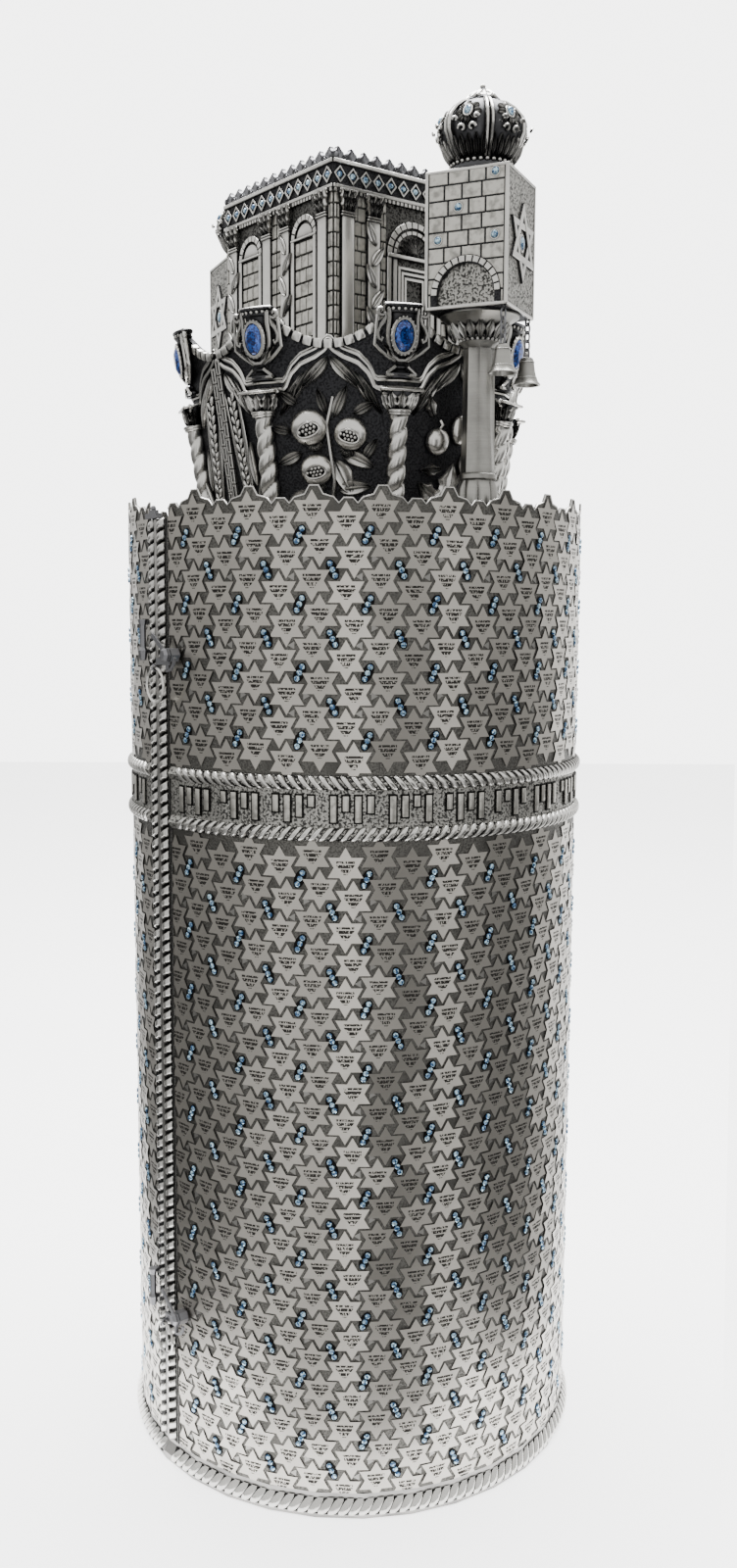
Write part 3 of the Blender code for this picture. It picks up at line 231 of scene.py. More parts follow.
@dataclass(frozen=True)
class Silver:
    """Worked silver: bright where it is rubbed, black in its recesses, where an occlusion term stands for the
    oxide in hollows and also paints shade in creases and where parts meet.
    """

    name: str
    bright: tuple
    dark: tuple
    roughness: float = 0.30
    # recess: reach of the occlusion darkening, which stands for oxide in hollows and also paints shade in
    # creases and between parts
    recess: float = 0.0
    recess_low: float = 0.58
    recess_high: float = 0.97
    patches: float = 0.15
    patch_size: float = 0.028
    brushing: float = 0.0
    stipple: float = 0.0
    stipple_size: float = 0.0011
    engraved: bool = False
    stretched: float = 0.0

    def material(self) -> bpy.types.Material:
        """The node material of this finish, made once.

        Returns:
            The material.
        """
        if self.name in bpy.data.materials:
            return bpy.data.materials[self.name]
        wiring = Wiring(bpy.data.materials.new(self.name))
        patch = wiring.ramp(wiring.noise(self.patch_size, 4), 0.42, 0.72)
        shade = wiring.math("MULTIPLY", patch, self.patches)
        # Painted shade: occlusion darkens hollows, creases and the meeting of parts, standing for their oxide
        # and for the shade there
        if self.recess:
            open_share = wiring.node("ShaderNodeAmbientOcclusion", {"Distance": self.recess}, samples=6)
            oxide_and_painted_shade = wiring.ramp(open_share.outputs["AO"], self.recess_high, self.recess_low)
            shade = wiring.math("MAXIMUM", shade, oxide_and_painted_shade)
        if self.stipple:
            grain = wiring.noise(self.stipple_size, 1)
            pits = wiring.ramp(grain, 0.46, 0.60)
            shade = wiring.math("MAXIMUM", shade, wiring.math("MULTIPLY", pits, self.stipple))
            wiring.bump(grain, 0.7, 0.0006)
        if self.brushing:
            streaks = wiring.noise(0.02, 3, (1, 1, 110))
            shade = wiring.math("ADD", shade, wiring.math("MULTIPLY", streaks, self.brushing), True)
            wiring.bump(streaks, 0.10, 0.0002)
        if self.engraved:
            shade = wiring.math("MAXIMUM", shade, self.strokes(wiring))
        wiring.give({
            "Base Color": wiring.mix(shade, (*self.bright, 1), (*self.dark, 1)),
            "Metallic": 1.0,
            "Roughness": wiring.between(shade, self.roughness, 0.62),
        })
        if self.stretched:
            wiring.give({"Anisotropic": self.stretched, "Anisotropic Rotation": 0.25})
        return wiring.holder

    def strokes(self, wiring: Wiring) -> object:
        """Rows of tiny upright strokes on each star, in the star's own plan.

        Args:
            wiring: the star's nodes.

        Returns:
            The share of each stroke.
        """
        plan = wiring.node("ShaderNodeUVMap", {}, uv_map="star_plan").outputs[0]
        parts = wiring.node("ShaderNodeSeparateXYZ", {0: plan})
        across, rise = [
            wiring.math("MULTIPLY", wiring.math("SUBTRACT", part, 0.5), PLAN_WIDTH)
            for part in parts.outputs[:2]
        ]
        row = wiring.math("FRACT", wiring.math("DIVIDE", wiring.math("ADD", rise, 30.3), 2.7))
        in_row = wiring.math("LESS_THAN", wiring.math("ABSOLUTE", wiring.math("SUBTRACT", row, 0.5)), 0.36)
        high = wiring.math("LESS_THAN", wiring.math("ABSOLUTE", wiring.math("ADD", rise, 0.2)), 4.0)
        wide = wiring.node("ShaderNodeMapRange", {0: rise, 1: -4.0, 2: 1.5, 3: 1.2, 4: 5.4}).outputs[0]
        inside = wiring.math("LESS_THAN", wiring.math("ABSOLUTE", across), wide)
        marks = wiring.math("GREATER_THAN", wiring.noise(0.0013, 1, (1.7, 1.7, 0.8)), 0.42)
        share = wiring.math("MULTIPLY", in_row, high)
        share = wiring.math("MULTIPLY", share, inside)
        return wiring.math("MULTIPLY", wiring.math("MULTIPLY", share, marks), 0.97)


@dataclass(frozen=True)
class Stone:
    """A clear cut stone over a foil, light blue, with glints painted in random cells for its bright facets.
    """

    name: str
    deep: tuple = (0.03, 0.13, 0.34)
    # light: the colour of the painted glints
    light: tuple = (0.38, 0.66, 0.92)
    roughness: float = 0.05

    def material(self) -> bpy.types.Material:
        """The node material of this stone, made once.

        Returns:
            The material.
        """
        if self.name in bpy.data.materials:
            return bpy.data.materials[self.name]
        wiring = Wiring(bpy.data.materials.new(self.name))
        # Painted glints: random cells take the light colour, standing for reflections in the facets.
        cells = wiring.node("ShaderNodeTexVoronoi", {"Vector": wiring.place, "Scale": 1000.0})
        channels = wiring.node("ShaderNodeSeparateXYZ", {0: cells.outputs["Color"]})
        glint = wiring.ramp(channels.outputs[0], 0.2, 0.9)
        wiring.give({
            "Base Color": wiring.mix(glint, (*self.deep, 1), (*self.light, 1)),
            "Metallic": 0.55,
            "Roughness": self.roughness,
            "Coat Weight": 1.0,
            "Coat Roughness": 0.03,
        })
        return wiring.holder


@dataclass(frozen=True)
class Pale:
    """The plain pale floor."""

    name: str = "pale_floor"
    colour: tuple = (0.90, 0.90, 0.90)
    glow: float = 3.3

    def material(self) -> bpy.types.Material:
        """The floor's material, a little uneven.

        Returns:
            The material.
        """
        wiring = Wiring(bpy.data.materials.new(self.name))
        shade = wiring.ramp(wiring.noise(0.4, 2), 0.3, 0.7)
        darker = tuple(0.97 * channel for channel in self.colour)
        wiring.give({
            "Base Color": wiring.mix(shade, (*self.colour, 1), (*darker, 1)),
            "Roughness": 0.65,
            "Emission Color": (*self.colour, 1),
            "Emission Strength": self.glow,
        })
        return wiring.holder


BRIGHT = (0.72, 0.705, 0.67)
MIDDLE_GREY = (0.46, 0.45, 0.42)
DIM_GREY = (0.10, 0.10, 0.10)
INK = (0.018, 0.018, 0.019)
CAST = Silver(
    "cast_silver", BRIGHT, INK, 0.25, recess=0.0034, recess_low=0.52, recess_high=0.93, patches=0.14,
)
FINE = Silver(
    "chased_silver", BRIGHT, INK, 0.28, recess=0.0042, recess_low=0.70, recess_high=0.995, patches=0.20,
)
STAR_FACE = Silver(
    "star_face", (0.585, 0.555, 0.505), (0.03, 0.028, 0.026), 0.27, patches=0.10, brushing=0.18,
    engraved=True, stretched=0.6,
)
STAR_EDGE = Silver("star_edge", (0.30, 0.29, 0.27), DIM_GREY, 0.35)
OXIDE_LINE = Silver("oxide_line", (0.014, 0.0135, 0.013), (0.005, 0.005, 0.005), 0.55, patches=0.4)
RIBBON = Silver(
    "ribbon_grey", (0.155, 0.15, 0.138), (0.035, 0.034, 0.031), 0.40, patches=0.5, stipple=0.5,
)
ISLAND = Silver("island_silver", (0.34, 0.33, 0.31), (0.18, 0.175, 0.17), 0.36, patches=0.4)
GROUND = Silver(
    "stippled_ground", (0.16, 0.157, 0.148), (0.010, 0.010, 0.010), 0.45, stipple=0.9, patches=0.3,
)
BLACK_GROUND = Silver("black_ground", (0.042, 0.042, 0.045), (0.006, 0.006, 0.007), 0.45, stipple=0.6)
# Near black: painted shade for the inside of the pomegranate's opening.
PAINTED_OPENING_SHADE = Silver("ink_recess", (0.010, 0.010, 0.011), (0.005, 0.005, 0.005), 0.6, patches=0.3)
COLUMN = Silver("column_silver", MIDDLE_GREY, INK, 0.26, recess=0.004, patches=0.3, brushing=0.35)
BAND_GROUND = Silver("band_ground", MIDDLE_GREY, (0.03, 0.03, 0.03), 0.40, stipple=0.9, stipple_size=0.0013)
PLAIN = Silver("plain_silver", (0.36, 0.35, 0.335), DIM_GREY, 0.30, patches=0.4, brushing=0.2)
DARK = Silver("dark_silver", (0.085, 0.085, 0.088), INK, 0.30, recess=0.003, patches=0.3)
SHADOWED = Silver(
    "shadowed_silver", (0.10, 0.10, 0.105), (0.010, 0.010, 0.011), 0.36, recess=0.005, patches=0.4,
)
BRICK = Silver(
    "brick_silver", (0.64, 0.62, 0.57), (0.10, 0.098, 0.09), 0.32, patches=0.50, patch_size=0.0040,
    brushing=0.12, recess=0.0030, recess_low=0.62, recess_high=0.99,
)
# Both stones carry painted glints in their facets.
SMALL_STONE = Stone("small_blue_stone", (0.02, 0.10, 0.25), (0.60, 0.86, 1.0), 0.10)
BIG_STONE = Stone("big_blue_stone", (0.001, 0.008, 0.10), (0.02, 0.12, 0.55), 0.03)
Finish = Silver | Stone | Pale


def mm(*values: float) -> tuple:
    """Millimetres as metres."""
    return tuple(value * MM for value in values)


def oval(wide: float, high: float, count: int, z: float = 0.0) -> list:
    """Points round an ellipse in the plane, from half its width and height."""
    angles = [2 * math.pi * k / count for k in range(count)]
    return [(wide * math.cos(a), high * math.sin(a), z) for a in angles]


def scroll(
    centre: Sequence, sizes: Sequence, shrink: float, step: float, count: int, way: int, z: float,
) -> list:
    """Points of a scroll that winds inwards, in metres from measures in millimetres.

    Args:
        centre: its middle.
        sizes: its first radius across and up.
        shrink: how much smaller each point's radius is.
        step: the angle from point to point.
        count: how many points.
        way: 1 as it is, -1 mirrored.
        z: its height.

    Returns:
        The points.
    """
    points = []
    for k in range(count):
        across, up = [size - shrink * k for size in sizes]
        x, y = centre[0] + across * math.cos(step * k), centre[1] + up * math.sin(step * k)
        points.append((way * x * MM, y * MM, z * MM))
    return points


def cube(
    low: Sequence[float], high: Sequence[float], bevel: float = 0.0, segments: int = 1,
) -> Form:
    """A box between two corners, with rounded edges.

    Args:
        low: its lowest corner.
        high: its highest corner.
        bevel: how far the rounding reaches in from each edge.
        segments: how many steps the rounding has.

    Returns:
        The box.
    """
    low, high = Vector(low), Vector(high)
    bm = bmesh.new()
    bmesh.ops.create_cube(bm, size=1, matrix=shift(*((low + high) / 2)) @ scale(*(high - low)))
    if bevel:
        round_edges(bm, bm.edges[:], bevel, segments)
    return bm


def round_edges(bm: Form, edges: list, offset: float, segments: int = 1) -> None:
    """Rounds edges of a mesh.

    Args:
        bm: the form.
        edges: the edges.
        offset: how far the rounding reaches in.
        segments: its steps.
    """
    bmesh.ops.bevel(
        bm, geom=edges, offset=offset, segments=segments, profile=0.5, affect="EDGES", material=-1,
        clamp_overlap=True,
    )


def lathe(profile: Sequence, steps: int) -> Form:
    """A turned form from (radius, z) points, from axis to axis or as a closed ring.

    Args:
        profile: the points down the outer side.
        steps: how many steps a full turn has.

    Returns:
        The form, closed.
    """
    bm = bmesh.new()
    verts = [bm.verts.new((radius, 0, z)) for radius, z in profile]
    edges = [bm.edges.new(pair) for pair in zip(verts, verts[1:])]
    if profile[0][0] > WELD:
        edges.append(bm.edges.new((verts[-1], verts[0])))
    bmesh.ops.spin(
        bm, geom=verts + edges, cent=(0, 0, 0), axis=(0, 0, 1), angle=2 * math.pi, steps=steps,
        use_merge=True, use_duplicate=False,
    )
    bmesh.ops.remove_doubles(bm, verts=bm.verts, dist=WELD)
    bmesh.ops.recalc_face_normals(bm, faces=bm.faces)
    return bm


def cut_stone(rows: Sequence, steps: int, wide: float, high: float) -> Form:
    """A faceted stone of (share of its radius, height in millimetres) rows, oval in plan.

    Args:
        rows: the rows from its top down.
        steps: how many facets it has round.
        wide: half its width.
        high: half its height in plan.

    Returns:
        The stone, closed.
    """
    form = lathe([(share, z * MM) for share, z in rows], steps)
    form.transform(scale(wide, high, 1))
    return form


def globe(radii: Sequence[float], segments: int, rings: int, root: float | None = None) -> Form:
    """An ellipsoid, cut flat at the back if it has a root.

    Args:
        radii: its three radii.
        segments: steps round it.
        rings: steps from pole to pole.
        root: how far it reaches behind z = 0, or None for a whole one.

    Returns:
        The form, closed.
    """
    bm = bmesh.new()
    bmesh.ops.create_uvsphere(bm, u_segments=segments, v_segments=rings, radius=1)
    bm.transform(scale(*radii))
    if root is not None:
        cut_back(bm, root)
    return bm


def cut_back(bm: Form, root: float) -> None:
    """Cuts off what lies further than root behind z = 0, and closes the cut.

    Args:
        bm: the form.
        root: how far the form reaches behind z = 0.
    """
    geom = [*bm.verts, *bm.edges, *bm.faces]
    bmesh.ops.bisect_plane(bm, geom=geom, plane_co=(0, 0, -root), plane_no=(0, 0, -1), clear_outer=True)
    bmesh.ops.holes_fill(bm, edges=[edge for edge in bm.edges if edge.is_boundary])


def tube(points: Sequence, radius: float, resolution: int = 1, cyclic: bool = False) -> Form:
    """A round bar along points.

    Args:
        points: where it runs.
        radius: its radius.
        resolution: how finely it is rounded.
        cyclic: whether it closes on itself.

    Returns:
        The bar, closed.
    """
    curve = bpy.data.curves.new("tube", "CURVE")
    curve.dimensions = "3D"
    curve.bevel_depth = radius
    curve.bevel_resolution = resolution
    curve.use_fill_caps = not cyclic
    spline = curve.splines.new("POLY")
    spline.points.add(len(points) - 1)
    for place, point in zip(spline.points, points):
        place.co = (*point, 1)
    spline.use_cyclic_u = cyclic
    return from_curve(curve)


def plate(outlines: Sequence, thickness: float, bevel: float = 0.0) -> Form:
    """A flat plate of closed outlines in XY, its back on z = 0. An outline inside another is a hole.

    Args:
        outlines: the closed outlines.
        thickness: how thick it is.
        bevel: how far its edges are rounded.

    Returns:
        The plate, closed.
    """
    curve = bpy.data.curves.new("plate", "CURVE")
    curve.dimensions = "2D"
    curve.fill_mode = "BOTH"
    curve.extrude = thickness / 2 - bevel
    curve.bevel_depth = bevel
    curve.bevel_resolution = 0
    curve.offset = -bevel
    for outline in outlines:
        spline = curve.splines.new("POLY")
        spline.points.add(len(outline) - 1)
        for place, (x, y) in zip(spline.points, outline):
            place.co = (x, y, 0, 1)
        spline.use_cyclic_u = True
    bm = from_curve(curve)
    bm.transform(shift(z=thickness / 2))
    return bm


def from_curve(curve: bpy.types.Curve) -> Form:
    """A curve as a welded mesh.

    Args:
        curve: the curve, which is removed.

    Returns:
        The mesh.
    """
    holder = bpy.data.objects.new("curve", curve)
    bpy.context.scene.collection.objects.link(holder)
    graph = bpy.context.evaluated_depsgraph_get()
    mesh = bpy.data.meshes.new_from_object(holder.evaluated_get(graph))
    bm = bmesh.new()
    bm.from_mesh(mesh)
    bpy.data.meshes.remove(mesh)
    bpy.data.objects.remove(holder)
    bpy.data.curves.remove(curve)
    bmesh.ops.remove_doubles(bm, verts=bm.verts, dist=WELD)
    bmesh.ops.recalc_face_normals(bm, faces=bm.faces)
    return bm


def arc(centre: Sequence[float], radius: float, start: float, end: float, count: int) -> list:
    """Points along an arc in the plane, from one angle in degrees to another."""
    angles = [math.radians(start + (end - start) * k / count) for k in range(count + 1)]
    return [(centre[0] + radius * math.cos(a), centre[1] + radius * math.sin(a)) for a in angles]


def leaf(length: float, width: float, rise: float, curl: float = 0.0, lobes: int = 0) -> Form:
    """A veined leaf from the origin up Y, its back on z = 0.

    Args:
        length: from stem to tip.
        width: across its broadest part.
        rise: how high it stands.
        curl: how far the tip bends sideways.
        lobes: how many lobes each edge has.

    Returns:
        The leaf, closed.
    """
    across, along = 8, 9 if lobes else 7
    hills = (1.0, 0.42, 0.55, 1.0, 0.35)
    bm = bmesh.new()
    bmesh.ops.create_grid(bm, x_segments=across, y_segments=along, size=0.5)
    for vert in bm.verts:
        s, t = 2 * vert.co.x, vert.co.y + 0.5
        half = math.sin(math.pi * min(1.0, t) ** 0.8) ** 0.75
        if lobes:
            half *= 0.78 + 0.22 * math.cos(2 * math.pi * lobes * t)
        ridge = hills[round(4 * abs(s))]
        high = rise * (0.25 + 0.75 * math.sin(math.pi * (0.08 + 0.84 * t))) * ridge
        vert.co = (s * half * width / 2 + curl * t * t, t * length, max(high, 0.1 * rise))
    close_back(bm, -0.6 * MM)
    return bm


def close_back(bm: Form, level: float) -> None:
    """Gives an open relief sides down to a level, and closes its back.

    Args:
        bm: the form.
        level: the height of the closed back.
    """
    edges = [edge for edge in bm.edges if edge.is_boundary]
    grown = bmesh.ops.extrude_edge_only(bm, edges=edges)
    for item in grown["geom"]:
        if isinstance(item, bmesh.types.BMVert):
            item.co.z = level
    bmesh.ops.holes_fill(bm, edges=[edge for edge in bm.edges if edge.is_boundary])
    bmesh.ops.recalc_face_normals(bm, faces=bm.faces)


def twisted(
    length: float, radius: float, lead: float, strands: int, around_steps: int, per_lead: int, depth: float,
    handed: int,
) -> Form:
    """A twisted rope that stands on the origin along Z.

    Args:
        length: its height.
        radius: its outer radius.
        lead: the rise of one full turn of a strand.
        strands: how many strands it has.
        around_steps: steps round it.
        per_lead: steps up it for each lead.
        depth: how deep the grooves are, as a share of the radius.
        handed: 1 where the strands fall to the right as seen from outside, -1 where they rise.

    Returns:
        The rope, closed.
    """
    levels = max(2, round(length / lead * per_lead))
    bm = bmesh.new()
    bmesh.ops.create_grid(bm, x_segments=around_steps, y_segments=levels, size=0.5)
    for vert in bm.verts:
        angle, z = 2 * math.pi * (vert.co.x + 0.5), (vert.co.y + 0.5) * length
        phase = strands * angle / 2 + handed * math.pi * strands * z / lead
        lobe = abs(math.cos(phase)) ** 0.5
        size = radius * (1 - depth + depth * lobe)
        vert.co = (size * math.cos(angle), size * math.sin(angle), z)
    bmesh.ops.remove_doubles(bm, verts=bm.verts, dist=1e-7)
    bmesh.ops.holes_fill(bm, edges=[edge for edge in bm.edges if edge.is_boundary])
    bmesh.ops.recalc_face_normals(bm, faces=bm.faces)
    return bm


class Shape:
    """A piece in the making: forms are added one by one, each with its own finish."""

    def __init__(self, name: str) -> None:
        """Starts an empty piece.

        Args:
            name: its name.
        """
        self.name = name
        self.bm = bmesh.new()
        self.finishes: list = []

    def number(self, finish: Finish) -> int:
        """The material number of a finish on this piece.

        Args:
            finish: the finish.

        Returns:
            The number.
        """
        if finish not in self.finishes:
            self.finishes.append(finish)
        return self.finishes.index(finish)

    def add(self, form: Form, place: Matrix, *finishes: Finish) -> None:
        """Adds a form at one place and frees it."""
        self.stamp(form, [place], *finishes)

    def stamp(self, form: Form, places: Sequence, *finishes: Finish) -> None:
        """Adds a form at several places and frees it.

        Args:
            form: the form. Its faces' material numbers count in the finishes.
            places: the matrices.
            *finishes: its finishes.
        """
        numbers = [self.number(finish) for finish in finishes]
        for face in form.faces:
            face.material_index = numbers[min(face.material_index, len(numbers) - 1)]
        mesh = bpy.data.meshes.new("form")
        form.to_mesh(mesh)
        form.free()
        for place in places:
            mesh.transform(place)
            mirrored = place.determinant() < 0
            if mirrored:
                mesh.flip_normals()
            self.bm.from_mesh(mesh)
            mesh.transform(place.inverted())
            if mirrored:
                mesh.flip_normals()
        bpy.data.meshes.remove(mesh)

    def bend(self, move: Callable[[Vector], Vector]) -> None:
        """Moves each vertex by a rule."""
        for vert in self.bm.verts:
            vert.co = move(vert.co)

    def done(self, body: str, slot: str, replaced: Sequence[str] = (), sharp: float = 32.0) -> None:
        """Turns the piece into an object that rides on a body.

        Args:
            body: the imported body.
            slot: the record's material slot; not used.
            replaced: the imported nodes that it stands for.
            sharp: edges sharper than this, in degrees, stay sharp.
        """
        mesh = bpy.data.meshes.new(self.name)
        self.bm.to_mesh(mesh)
        self.bm.free()
        for finish in self.finishes:
            mesh.materials.append(finish.material())
        mesh.shade_smooth()
        mesh.set_sharp_from_angle(angle=math.radians(sharp))
        piece = bpy.data.objects.new(self.name, mesh)
        bpy.context.scene.collection.objects.link(piece)
        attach(piece, body)
        if replaced:
            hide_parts(*replaced)
        LOG.info("%s: %d faces", self.name, len(mesh.polygons))


def skin_span(side: Side) -> tuple:
    """Arc lengths from the front strip to the hinge's leaf on one half, the smaller first.

    Args:
        side: which half.

    Returns:
        Both arc lengths.
    """
    front = math.asin((STRIP_WIDTHS[side.value] + GAP) / CASE_RADIUS) * CASE_RADIUS
    back = (math.pi - math.asin((LEAF_WIDTH + GAP) / CASE_RADIUS)) * CASE_RADIUS
    return (front, back) if side is Side.RIGHT else (-back, -front)


def facing_up(bm: Form) -> bmesh.types.BMFace:
    """Turns the only face of a flat form to +Z, and gives it.

    Args:
        bm: the form.

    Returns:
        The face.
    """
    bm.normal_update()
    if bm.faces[:][0].normal.z < 0:
        bmesh.ops.reverse_faces(bm, faces=bm.faces)
        bm.normal_update()
    return bm.faces[:][0]


def trim(bm: Form, planes: Sequence) -> None:
    """Cuts off what lies beyond each plane, given as a point and the way out.

    Args:
        bm: the form.
        planes: a point and the way out for each.
    """
    for point, normal in planes:
        geom = [*bm.verts, *bm.edges, *bm.faces]
        bmesh.ops.bisect_plane(bm, geom=geom, plane_co=point, plane_no=normal, clear_outer=True)


def on_case(point: Vector) -> Vector:
    """A point of the unrolled case (arc length, height, proud of the skin) on the round one."""
    return around(CASE_RADIUS + point.z, point.x / CASE_RADIUS, point.y)


class Sheet(Enum):
    """The star sheets of one half: height of the first row of stars, the lowest edge and the rows."""

    UPPER = (610.3 * MM, BAND_TOP + GAP, 8)
    LOWER = (412.7 * MM, BASE_TOP + GAP, 21)

    @property
    def first_row(self) -> float:
        """Height of the centres of the first row."""
        return self.value[0]

    @property
    def foot(self) -> float:
        """Height of the lower edge."""
        return self.value[1]

    @property
    def rows(self) -> int:
        """How many rows of stars it has."""
        return self.value[2]


@dataclass
class StarSheets:
    """The sheets of engraved stars on both halves, with their grey ribbons and clusters of small stones."""

    column_pitch: float = 2 * math.pi * CASE_RADIUS / 48
    row_pitch: float = 19.45 * MM
    zigzag: float = 2.3 * MM
    low_drop: float = 6.4 * MM
    radius: float = 10.7 * MM
    depth: float = 0.5 * MM
    line: float = 0.65 * MM
    clear: float = 4.0 * MM
    lower_top: float = BAND_BOTTOM - GAP
    scallop: tuple = (
        (-14.3, 615.2), (-11.3, 618.5), (-5.3, 620.1), (-2.6, 625.0), (2.6, 625.0), (5.3, 620.1),
        (11.3, 618.5), (14.3, 615.2), (17.0, 618.1), (22.3, 618.1),
    )

    def star(self) -> Form:
        """One raised star with its dark outline, flat in XY, and its plan as a map.

        Returns:
            The star, open at its back.
        """
        bm = bmesh.new()
        bmesh.ops.create_circle(bm, cap_ends=True, segments=12, radius=self.radius + self.line * 2)
        for vert in bm.verts:
            angle = math.degrees(math.atan2(vert.co.y, vert.co.x))
            if round((angle - 90) / 30) % 2:
                vert.co *= 1 / math.sqrt(3)
        top = facing_up(bm)
        for thickness, rise, number in ((self.line, 0.0, 1), (0.22 * MM, self.depth, 2)):
            ring = bmesh.ops.inset_region(
                bm, faces=[top], thickness=thickness, depth=rise, use_even_offset=True,
            )
            for face in ring["faces"]:
                face.material_index = number
        plan = bm.loops.layers.uv.new("star_plan")
        for face in bm.faces:
            for loop in face.loops:
                loop[plan].uv = [loop.vert.co[axis] / (PLAN_WIDTH * MM) + 0.5 for axis in (0, 1)]
        top.material_index = 0
        return bm

    def island(self) -> Form:
        """The small raised triangle that fills a gap between ribbons.

        Returns:
            The triangle, open at its back.
        """
        bm = bmesh.new()
        bmesh.ops.create_circle(bm, cap_ends=True, segments=3, radius=2.6 * MM)
        face = facing_up(bm)
        bmesh.ops.inset_region(bm, faces=[face], thickness=0.3 * MM, depth=0.22 * MM, use_even_offset=True)
        for other in bm.faces:
            other.material_index = 0 if other == face else 1
        return bm

    def setting(self) -> Form:
        """The oval collar round three small stones.

        Returns:
            The collar, open at its back.
        """
        bm = bmesh.new()
        bmesh.ops.create_circle(bm, cap_ends=True, segments=14, radius=1)
        bm.transform(scale(3.3 * MM, 6.3 * MM, 1))
        floor = facing_up(bm)
        for thickness, rise in ((0.25 * MM, 0.75 * MM), (0.35 * MM, 0.0), (0.2 * MM, -0.45 * MM)):
            bmesh.ops.inset_region(bm, faces=[floor], thickness=thickness, depth=rise, use_even_offset=True)
        floor.material_index = 1
        return bm

    def gem(self) -> Form:
        """One small faceted round stone."""
        rows = [(0, 1.45), (0.95, 1.35), (1.65, 0.85), (1.75, 0.25)]
        return lathe([(r * MM, z * MM) for r, z in rows] + [(0, 0.25 * MM)], 8)

    def top_line(self, sheet: Sheet, start: float, end: float) -> list:
        """The upper edge of a sheet as (arc length, height) points.

        Args:
            sheet: which sheet.
            start: arc length of its first edge.
            end: arc length of its last edge.

        Returns:
            The points from the first edge to the last.
        """
        pitch = 2 * self.column_pitch
        if sheet is Sheet.UPPER:
            waves = [k * pitch - self.zigzag / 2 for k in range(-13, 14)]
            marks = [(wave + x * MM, z * MM) for wave in waves for x, z in self.scallop]
        else:
            marks = [(k * pitch / 8, self.lower_top) for k in range(-104, 105)]
        near, far = start + 0.4 * MM, end - 0.4 * MM
        inside = [mark for mark in marks if near < mark[0] < far]
        first = max(mark for mark in marks if mark[0] <= near)
        last = min(mark for mark in marks if mark[0] >= far)
        return [(start, first[1]), *inside, (end, last[1])]

    def ground(self, sheet: Sheet, points: list) -> Form:
        """The plain sheet under the stars, unrolled, below the points of its upper edge.

        Args:
            sheet: which sheet.
            points: its upper edge.

        Returns:
            The sheet, closed.
        """
        bm = bmesh.new()
        count = len(points) - 1
        bmesh.ops.create_grid(bm, x_segments=count, y_segments=1, size=0.5)
        for vert in bm.verts:
            x, top = points[round((vert.co.x + 0.5) * count)]
            vert.co = (x, top if vert.co.y > 0 else sheet.foot, -self.depth)
        bmesh.ops.solidify(bm, geom=bm.faces[:], thickness=1.0 * MM)
        bmesh.ops.recalc_face_normals(bm, faces=bm.faces)
        for face in bm.faces:
            face.material_index = 0 if abs(face.normal.z) > 0.5 else 1
        level = max(vert.co.z for vert in bm.verts)
        bm.transform(shift(z=-self.depth - level))
        return bm

    def build(self, side: Side, sheet: Sheet) -> None:
        """Makes one sheet with its stars and stones.

        Args:
            side: which half.
            sheet: which sheet.
        """
        start, end = skin_span(side)
        name = f"{side.label}_{sheet.name.lower()}_star_sheet"
        shape = Shape(f"{name}_relief")
        low, high = sheet.foot, self.lower_top if sheet is Sheet.LOWER else 1.0
        stars, islands, settings, gems = [], [], [], []
        for column in range(-24, 25):
            for row in range(sheet.rows):
                even = row % 2 == 0
                x = column * self.column_pitch + (-self.zigzag if even else self.zigzag)
                z = sheet.first_row - row * self.row_pitch - (self.low_drop if column % 2 else 0)
                if x < start - self.radius or x > end + self.radius:
                    continue
                tilt = turn(1.2 * scatter(column, row, 1), "X") @ turn(2.1 * scatter(column, row, 2), "Y")
                stars.append(shift(x, z, -self.depth + 0.05 * MM) @ tilt)
                if even and row:
                    dx, dz, angle = (8.0, 8.7, 90) if column % 2 else (-3.8, 12.4, -90)
                    place = shift(x + dx * MM, z + dz * MM, -self.depth + 0.03 * MM) @ turn(angle)
                    if start + self.clear < x + dx * MM < end - self.clear:
                        islands.append(place)
                if column % 2:
                    continue
                way = -1 if even else 1
                gx, gz = x + way * 7.3 * MM, z - 13.3 * MM
                if not (start + 6 * MM < gx < end - 6 * MM and low + 7 * MM < gz < high - 7 * MM):
                    continue
                seat = shift(gx, gz, -self.depth + 0.05 * MM) @ turn(way * 24.0)
                settings.append(seat)
                gems += [seat @ shift(y=step * 3.75 * MM) for step in (-1, 0, 1)]
        shape.stamp(self.star(), stars, STAR_FACE, OXIDE_LINE, STAR_EDGE)
        shape.stamp(self.island(), islands, ISLAND, OXIDE_LINE)
        trim(shape.bm, (
            ((start, 0, 0), (-1, 0, 0)), ((end, 0, 0), (1, 0, 0)),
            ((0, low, 0), (0, -1, 0)), ((0, high, 0), (0, 1, 0)),
        ))
        points = self.top_line(sheet, start, end)
        shape.add(self.ground(sheet, points), Matrix(), RIBBON, STAR_EDGE)
        if sheet is Sheet.UPPER:
            rim = [(x, z - 0.5 * MM, -self.depth) for x, z in points]
            shape.add(tube(rim, 0.55 * MM), Matrix(), CAST)
        shape.bend(on_case)
        shape.done(side.body, "star_silver", [name])
        stones = Shape(f"{name}_stones")
        stones.stamp(self.setting(), settings, FINE, OXIDE_LINE)
        stones.stamp(self.gem(), gems, SMALL_STONE)
        stones.bend(on_case)
        stones.done(side.body, "star_silver", sharp=12)


